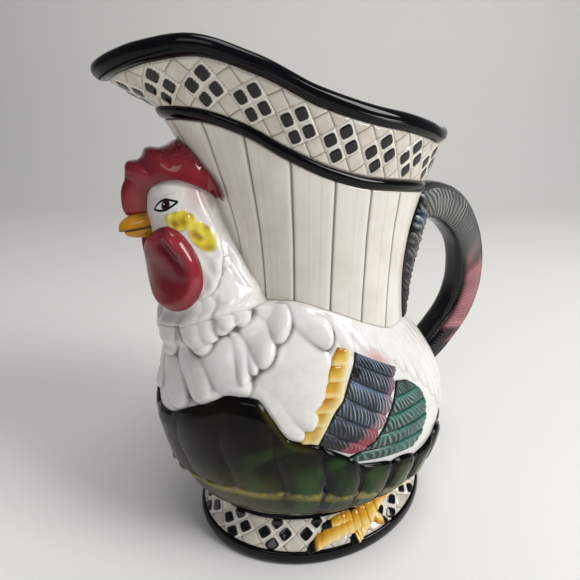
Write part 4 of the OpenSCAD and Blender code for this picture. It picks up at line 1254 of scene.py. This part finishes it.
def wing_bar(side):
    """Six flat blocks down the wing's front, ochre at the top of each and pale along the back."""
    blocks = 6
    u, v, a, z = between(bar_borders, wing_top, 150, 44)
    k = np.clip(u * blocks, 0, blocks - 0.001)
    w = k - np.floor(k)
    a = a + 0.45 * (1 - 4 * (w - 0.5) ** 2) * (1 - v)
    block = np.clip(1 - (2 * w - 1) ** 8, 0, 1) ** 0.5
    relief = (1.3 + 0.35 * block + 0.15 * np.sin(v * 9)) * brink(u, v, 0.02, 0.2)
    own = 0.5 + 0.5 * np.sin(np.floor(k) * 2.4 + 1)
    ochre = step(0.62, 0.12, w) * step(0.8, 0.3, v) * (0.45 + 0.55 * own) + 0.45 * step(0.1, 0, w)
    # Pale along the back, and a painted highlight along the lower edge of each block
    pale = step(0.5, 0.9, v) + 0.55 * step(0.55, 0.85, w) * step(0.98, 0.9, w)
    paint = masks(relief.shape, ochre, pale)
    sprig(side, "wing_bar", "yellow", "bar_glaze", a, z, belly_at, relief, paint)


def barbs(u, v, edges, strokes, slant):
    """Rows of slanting strokes: each place's row, share down the row, height and strength of its stroke."""
    edges = np.asarray(edges)
    row = np.clip(np.searchsorted(edges, u, side="right") - 1, 0, len(edges) - 2)
    w = (u - edges[row]) / (edges[row + 1] - edges[row])
    wander = 0.14 * np.sin(v * 13 + row * 1.7) + 0.08 * np.sin(v * 29 - w * 3 + row)
    phase = v * strokes[row] - slant * w ** 0.8 + row * 0.37 + wander
    own = scatter(np.floor(phase) * 12.9 + row * 78.2)
    return row, w + 0 * v, np.abs((phase % 1) * 2 - 1), own


def barb_relief(w, stroke, own):
    """Height of a row of barbs: ridges, and the row's own upper edge that overlaps the row over it."""
    ridge = stroke ** 2 * step(0, 0.3, w) * step(1, 0.8, w) * (0.3 + own)
    return 0.4 * ridge + 0.7 * (1 - w) ** 0.7 * step(0, 0.08, w)


# Rows of the fan, from the top: strokes, lightness, how far down its streaks reach, where the pink
# begins and how strong it is
fan_edges = [0, 0.12, 0.28, 0.47, 0.67, 0.87, 1.0001]
fan_rows = np.array([
    [11, 0.7, 1, 0.9, 0.45], [12, 0.4, 0.95, 0.88, 0.6], [13, 0.95, 1, 0.84, 0.6],
    [13, 0.8, 1, 0.8, 0.85], [12, 0.3, 0.75, 0.74, 1], [9, 0.05, 0.5, 0.62, 1],
])
# Rows of the tips, from the top: strokes, and how far back their streaks reach
tips_edges = [0, 0.2, 0.4, 0.6, 0.8, 1.0001]
tips_rows = np.array([[9, 0.9], [11, 0.6], [12, 0.45], [13, 0.35], [12, 0.3]])


def wing_fan(side):
    """Blue feathers: six rows of slanting barbs with a pink outer edge."""
    u, v, a, z = between(fan_borders, wing_top, 260, 240)
    row, w, stroke, own = barbs(u, v, fan_edges, fan_rows[:, 0], 3.4)
    light, reach, pink_from, pink_power = (fan_rows[row, k] for k in (1, 2, 3, 4))
    a = a - 1.3 * (1 - 4 * (w - 0.5) ** 2) * v
    relief = (0.9 + barb_relief(w, stroke, own)) * brink(u, v, 0.02, 0.04)
    streak = step(0.66, 0.95, stroke) * (0.25 + 0.75 * own)
    streak_end = reach * (0.6 + 0.4 * own)
    pale = streak * step(0.05, 0.25, w) * step(streak_end, streak_end - 0.3, w) * (0.5 + 0.5 * light)
    between_barbs = step(0.75, 0.35, stroke) * step(0.3, 0.6, w + 0.35 * v) * (1 - 0.3 * own)
    # Black at the foot and top of each row is painted shade where the rows meet; between the barbs it is
    # painted black
    black = np.clip(step(0.88, 0.98, w) + step(0.05, 0.0, w) + between_barbs, 0, 1)
    black = np.maximum(black, step(0.045, 0.01, v) + step(0.985, 1.0, v))
    blot = step(0.22, 0.12, v) * (row == 1) * step(0.15, 0.3, w) * step(0.9, 0.75, w)
    black = np.maximum(black, 0.95 * blot)
    deep = (1 - light) * (1 - 0.5 * pale)
    pink = step(pink_from - 0.1, pink_from + 0.05, v) * pink_power
    paint = masks(
        relief.shape, black * (1 - 0.6 * pink), pale + 0.25 * pink * (row < 4),
        pink * (1 - 0.4 * pale), deep * (1 - pink),
    )
    sprig(side, "wing_fan", "barbed", "fan_glaze", a, z, belly_at, relief, paint)


def wing_tips(side):
    """Green feathers behind the fan: five rows of barbs, pale by the fan and teal outside."""
    u, v, a, z = between(tips_borders, wing_top, 230, 200)
    row, w, stroke, own = barbs(u, v, tips_edges, tips_rows[:, 0], 3.4)
    reach = tips_rows[row, 1]
    relief = (0.8 + barb_relief(w, stroke, own)) * brink(u, v, 0.02, 0.05)
    streak = step(0.66, 0.95, stroke) * (0.3 + 0.7 * own)
    pale = streak * step(0.05, 0.2, w) * step(0.95, 0.6, w) * step(reach + 0.25, reach - 0.1, v)
    pale = np.maximum(pale, 0.3 * streak * step(0.95, 0.5, w) * step(0.95, 0.7, v))
    between_barbs = step(0.7, 0.3, stroke) * step(0.1, 0.5, w) * (1 - 0.65 * step(0.45, 0.8, v))
    # Black at the foot and top of each row is painted shade where the rows meet, and the top row's back is
    # painted shade as well
    black = np.clip(step(0.9, 0.98, w) + step(0.04, 0, w) + between_barbs, 0, 1)
    shaded = 0.8 * (row == 0) * step(0.3, 0.6, v)
    black = np.maximum(black, step(0.05, 0.01, v) + step(0.05, 0.01, u) + shaded)
    black = black * (1 - 0.35 * step(0.5, 0.9, v))
    paint = masks(relief.shape, black, 0.85 * pale)
    sprig(side, "wing_tips", "barbed", "tips_glaze", a, z, belly_at, relief, paint)


def plank_face(a, z):
    """Reach of the planks' middles."""
    return neck_r(a, z) + plank_crown


def tail_sprig(side):
    """Small dark feathers down the neck from the handle's root, standing well off the planks."""
    count = 8
    u, v, a, z = between(sprig_borders, shoulder_height, 260, 90)
    w, stroke, own = barbs(u, v, np.linspace(0, 1.0001, count + 1), np.full(count, 4), 2.4)[1:]
    ridge = stroke ** 1.6 * step(0, 0.15, w) * step(1, 0.8, w) * (0.3 + 0.7 * own)
    stand = mix(5.4, 3, step(0.15, 0.9, u)) * np.sin(np.pi * np.clip(v, 0.03, 0.97)) ** 0.8
    stand = stand * np.sqrt(np.clip((1 - u) / 0.4, 0.02, 1))
    relief = 0.6 * brink(u, v, 0.03, 0.12) + (stand + 0.7 * ridge) * brink(u, v, 0.05, 0.2)
    pale = (0.15 + 0.85 * own * step(0.5, 0.85, stroke)) * step(0.05, 0.25, w)
    pale = pale * step(1, 0.7, w) * step(1, 0.3, u)
    pink = np.exp(-((u - 0.4) / 0.07) ** 2) * step(0.1, 0.5, v)
    blue = 0.4 * step(0.3, 0.12, u) * step(0.2, 0.6, own)
    borders = step(0.88, 0.98, w) + step(0.1, 0, v) + step(0.1, 0, 1 - v)
    black = np.clip(borders + 0.6 * step(0.5, 0.2, stroke), 0, 1)
    paint = masks(relief.shape, black * (1 - 0.5 * pink), 0.75 * pale, 0.6 * pink, blue * (1 - pale))
    sprig(side, "tail_sprig", "dark", "tail_glaze", a, z, plank_face, relief, paint)


def handle_path():
    """Handle's middle line in its plane, past both roots: share along it, x, z and the unit normal."""
    past, stations = 3, 420
    highest = handle_top - handle_thick / 2
    farthest = belly_back + finger_gap + handle_thick / 2
    table = np.array(handle_shares)
    heights = table[:, 1] * highest
    starts = np.where(heights > shoulder_z(0), plank_face(0, heights), belly_at(0, heights))
    path = np.stack([mix(starts, farthest, table[:, 0]), heights], axis=-1)
    long = np.concatenate([[0], np.cumsum(np.linalg.norm(np.diff(path, axis=0), axis=-1))])
    knots = np.column_stack([long, path])
    far = np.linspace(-past, long[-1] + past, stations)
    inside = np.clip(far, 0, long[-1])
    x, z = curve(knots, inside, 1), curve(knots, inside, 2)
    x = x - np.clip(-far, 0, past) - np.clip(far - long[-1], 0, past)
    dx, dz = np.gradient(x), np.gradient(z)
    size = np.hypot(dx, dz)
    return [part[:, None] for part in (far / long[-1], x, z, -dz / size, dx / size)]


def handle():
    """Tail-feather handle: a rounded strap swept along its middle line, with barbs on its sides.

    Across the strap the outline is a rounded rectangle by powers of the angle's cosine and sine. The
    sine s is 1 on the outer face of the handle and -1 on the face towards the neck.
    """
    u, x, z, nx, nz = handle_path()
    bend = np.linspace(0, 360, 180, endpoint=False)[None, :] * DEG
    c, s = np.cos(bend), np.sin(bend)
    sideways = np.sign(c) * np.abs(c) ** 0.6
    outward = np.sign(s) * np.abs(s) ** 0.75
    flank = step(0.35, 0.75, np.abs(c))
    live = flank * step(0.02, 0.07, u) * step(0.985, 0.95, u)
    side_face = live * step(0.52, 0.4, s)
    phase = u * 58 + s * 2.6 + 0.2 * np.sin(u * 41 + s * 2) + 0.1 * np.sin(u * 97 - s * 3)
    own = scatter(np.floor(phase) * 12.9)
    stroke = np.abs((phase % 1) * 2 - 1)
    clump = 0.5 + 0.5 * np.sin(u * 57 + 2.2 * s + np.sin(u * 23))
    ridge = 0.6 * stroke ** 1.6 * (0.3 + 0.7 * own) * side_face * mix(1, 0.3, step(0.26, 0.4, u))
    rib = 0.8 * np.exp(-((s - 0.5) / 0.09) ** 2) * flank * step(0.02, 0.1, u)
    grow = ridge + rib
    y = sideways * handle_width / 2 * (1 + grow / 12)
    deeper = mix(1.15, 1.65, step(0, 0.1, u) * step(0.45, 0.22, u))
    deep = outward * handle_thick / 2 * (1 + grow / 16) * np.where(s < 0, deeper, 1)
    rows = np.stack(np.broadcast_arrays(x + nx * deep, y, z + nz * deep), axis=-1)
    lines = step(0.3, 0.7, stroke) * (0.3 + 0.7 * own) * mix(0.6, 1, clump)
    tone = mix(0.2 + 0.75 * lines, 0.24, step(0.22, 0.4, u))
    pale = side_face * step(-0.97, -0.75, s) * step(0.56, 0.42, u) * tone
    # Faint painted highlight on the outer face of the handle's upper part
    pale = np.maximum(pale, 0.12 * live * step(0.45, 0.6, s) * step(0.6, 0.4, u))
    patchy = u + 0.035 * np.sin(u * 46 + s * 4)
    pink = step(0.44, 0.57, patchy) * step(0.89, 0.82, patchy) * step(-0.75, -0.4, s)
    pink = pink * step(0.97, 0.75, s) * step(0.1, 0.4, np.abs(c)) * (0.75 + 0.25 * clump)
    blue = 0.35 * step(0.12, 0.04, u) * step(0.2, 0.7, np.abs(c)) * step(0.6, 0.3, s)
    blue = blue * (0.4 + 0.6 * clump)
    dark = (0.3 + 0.6 * own) * step(0.55, 0.15, stroke) * side_face * step(0.46, 0.3, u)
    dark = dark * mix(1, 0.5, clump) * (1 - 0.6 * pink)
    light = pale + pink * (0.1 + 0.45 * own * step(0.5, 0.95, stroke))
    paint = masks(pale.shape, dark, light, pink, blue)
    tube("tail_handle", "handle", "tail_glaze", rows, paint)


# Toes from the leg to the nail: plan angle, share of foot_height, half width and rise. Each toe then has
# the share at which its nail begins, its number of creases and its number of rows
toe_shares = [
    ([
        [34, 0.66, 1.5, 1.6], [44, 0.86, 1.7, 1.8], [54, 0.93, 1.9, 2], [63, 0.93, 2.4, 2.3],
        [72, 0.84, 4.1, 2.8], [80, 0.77, 4.8, 3], [88, 0.75, 3.8, 2.9], [96, 0.71, 3.1, 2.8],
        [104, 0.65, 2.8, 2.7], [110, 0.575, 2.5, 2.6], [115, 0.49, 2.2, 2.4], [118, 0.42, 1.2, 1.6],
    ], 0.86, 14, 170),
    ([[79, 0.72, 3.4, 2.8], [84, 0.59, 2.8, 2.7], [88.4, 0.48, 2.3, 2.4], [92.5, 0.41, 1.4, 1.5]],
     0.66, 4, 60),
    ([[74, 0.74, 3, 2.7], [70.5, 0.62, 2.6, 2.6], [67.5, 0.52, 2.1, 2.2], [65, 0.44, 1.3, 1.5]], 0.6, 4, 60),
    ([[88, 0.86, 2.6, 2.6], [96, 0.87, 2.3, 2.5], [103.5, 0.83, 1.9, 2.1], [109.5, 0.79, 1.1, 1.4]],
     0.62, 4, 60),
]


def toe(k, table, nail_from, creases, rows):
    """Toe: a half-round bead on its path over the foot's slope. Returns its front, its back and its masks."""
    knots = [[i / (len(table) - 1), *row] for i, row in enumerate(table)]
    u = np.linspace(0, 1, rows)[:, None]
    a, z = curve(knots, u, 1), curve(knots, u, 2) * foot_height
    along, up = np.gradient(a[:, 0]) * foot_degree, np.gradient(z[:, 0])
    long = np.hypot(along, up)[:, None]
    c, s = along[:, None] / long, up[:, None] / long
    bend = np.linspace(-90, 90, 32)[None, :] * DEG
    nail = step(nail_from - 0.03, nail_from + 0.03, u)
    phase = u * creases + 0.35 * np.sin(u * 11 + k)
    knuckle = 1 + 0.05 * np.cos(phase * 2 * np.pi)
    tip = np.sqrt(np.clip((1 - u) / 0.05, 0, 1)) * np.sqrt(np.clip(u / 0.03, 0.05, 1))
    off = np.sin(bend) * curve(knots, u, 3) * knuckle * tip * (1 - 0.15 * nail)
    lift = 0.85 * np.cos(bend) ** 0.6 * curve(knots, u, 4) * knuckle * tip + 0.4
    turned, level = a - off * s / foot_degree, z + off * c
    front = place(foot_r(turned, level) + lift, -turned, level)
    back = place(foot_r(turned, level) - sunk, -turned, level)
    own = np.abs(np.sin(np.floor(phase) * 12.9 + k))
    crease = step(-0.62, -0.98, np.cos(phase * 2 * np.pi + 0.5 * np.sin(bend))) * own
    # Ochre in the creases and as painted shade on one side of the toe, and a pale painted highlight on its
    # other side
    shade = 0.55 * step(-0.1, 0.8, np.sin(bend)) * step(0.05, 0.2, u)
    top = 0.75 * step(0.3, -0.6, np.sin(bend)) * (1 - crease)
    return front, back, masks(off.shape, (0.6 * crease + shade) * (1 - nail), top, nail)


def claw(side):
    """Rooster's foot on the foot's slope: creased toes with dark nails, joined in one piece."""
    points, faces, colours = [], [], []
    count = 0
    for k, settings in enumerate(toe_shares):
        front, back, paint = toe(k, *settings)
        n, m = front.shape[:2]
        points.append(np.concatenate([front, back[:, ::-1]], axis=1).reshape(-1, 3))
        colours.append(np.concatenate([paint, paint[:, ::-1]], axis=1).reshape(-1, 4))
        faces.append(shell_faces(n, m) + count)
        count += n * m * 2
    points, = mirrored(side, np.concatenate(points))
    node, name = "claw_" + side_name(side), "toes_" + side_name(side)
    mesh(name, points, np.concatenate(faces), np.concatenate(colours), node, "claw_glaze")


base()
foot()
waist()
body()
neck()
bead()
collar()
rim()
hackle()
head()
comb()
beak_half("beak_top", "beak_upper", 1, beak_ahead)
beak_half("beak_bottom", "beak_lower", -1, beak_lower_ahead)
leaf_band()
handle()
for side in (-1, 1):
    eye(side)
    wattle(side)
    wing_bar(side)
    wing_fan(side)
    wing_tips(side)
    tail_sprig(side)
    claw(side)


# Stage, lamps and camera

def stage():
    """Pale floor that curves up into a backdrop well behind the pitcher, square to the camera."""
    bend = np.arange(10, 91, 10) * DEG
    flat_to, top, bend_radius, half_wide = 0.9, 2.4, 0.5, 2.6
    curved = flat_to + bend_radius * np.sin(bend)
    depth = np.concatenate([[-1.6, -0.8, 0, flat_to], curved, [flat_to + bend_radius]])
    heights = np.concatenate([[0, 0, 0, 0], bend_radius - bend_radius * np.cos(bend), [top]])
    sides = np.linspace(-half_wide, half_wide, 3)
    ahead, across = np.array([0.3744, 0.9273]), np.array([0.9273, -0.3744])
    flat = depth[:, None, None] * ahead + sides[None, :, None] * across
    points = np.concatenate([flat, np.broadcast_to(heights[:, None, None], flat.shape[:2] + (1,))], axis=-1)
    faces = quads(len(depth), len(sides), False, False)[:, ::-1]
    data = bpy.data.meshes.new("pale_floor")
    data.from_pydata(points.reshape(-1, 3).tolist(), [], faces.tolist())
    data.polygons.foreach_set("use_smooth", np.ones(len(data.polygons), bool))
    ground = bpy.data.objects.new("pale_floor", data)
    bpy.context.collection.objects.link(ground)
    # Matt painted paper: pale and rough, so that it gives the eye soft shadows only
    paper = bpy.data.materials.new("matt_paper")
    paper.use_nodes = True
    tree = paper.node_tree
    tree.nodes.clear()
    out = add(tree, "ShaderNodeOutputMaterial")
    matt = add(tree, "ShaderNodeBsdfPrincipled", {"Base Color": linear("#f0eee9"), "Roughness": 0.9})
    tree.links.new(matt.outputs[0], out.inputs[0])
    data.materials.append(paper)


def lamp(name, at, aim, size, power):
    """Soft rectangular lamp, sizes in metres, turned to a point and as strong as its watts."""
    light = bpy.data.lights.new(name, "AREA")
    light.shape = "RECTANGLE"
    light.size, light.size_y = size
    light.energy = power
    made = bpy.data.objects.new(name, light)
    bpy.context.collection.objects.link(made)
    made.location = at
    way = np.array(aim) - np.array(at)
    made.rotation_euler = Vector(way).to_track_quat("-Z", "Y").to_euler()


stage()
lamp("window", (0.85, -0.9, 0.95), (0, 0, 0.12), (0.5, 0.8), 16.5)
lamp("sky", (0.1, -0.2, 1.6), (0, 0, 0.1), (0.7, 0.7), 8)
lamp("fill", (-0.9, -1.1, 1.0), (0, 0, 0.12), (0.6, 0.6), 2.2)
world = bpy.data.worlds.new("soft_room")
world.use_nodes = True
sky_light = world.node_tree.nodes["Background"]
sky_light.inputs["Color"].default_value = linear("#dfe3e8")
sky_light.inputs["Strength"].default_value = 0.2
bpy.context.scene.world = world

# The photograph's camera, as fitted to the foot ring and the planks: place, way that it looks, and lens
photo_place, photo_way, photo_lens = (-0.0905, -0.1856, 0.212), (0.3485, 0.8627, -0.3665), 26.07
view = bpy.data.cameras.new("photo_view")
view.lens, view.sensor_width = photo_lens, 36
camera = bpy.data.objects.new("photo_view", view)
bpy.context.collection.objects.link(camera)
camera.location = photo_place
camera.rotation_euler = Vector(photo_way).to_track_quat("-Z", "Y").to_euler()
bpy.context.scene.camera = camera
bpy.context.scene.view_settings.view_transform = "Standard"
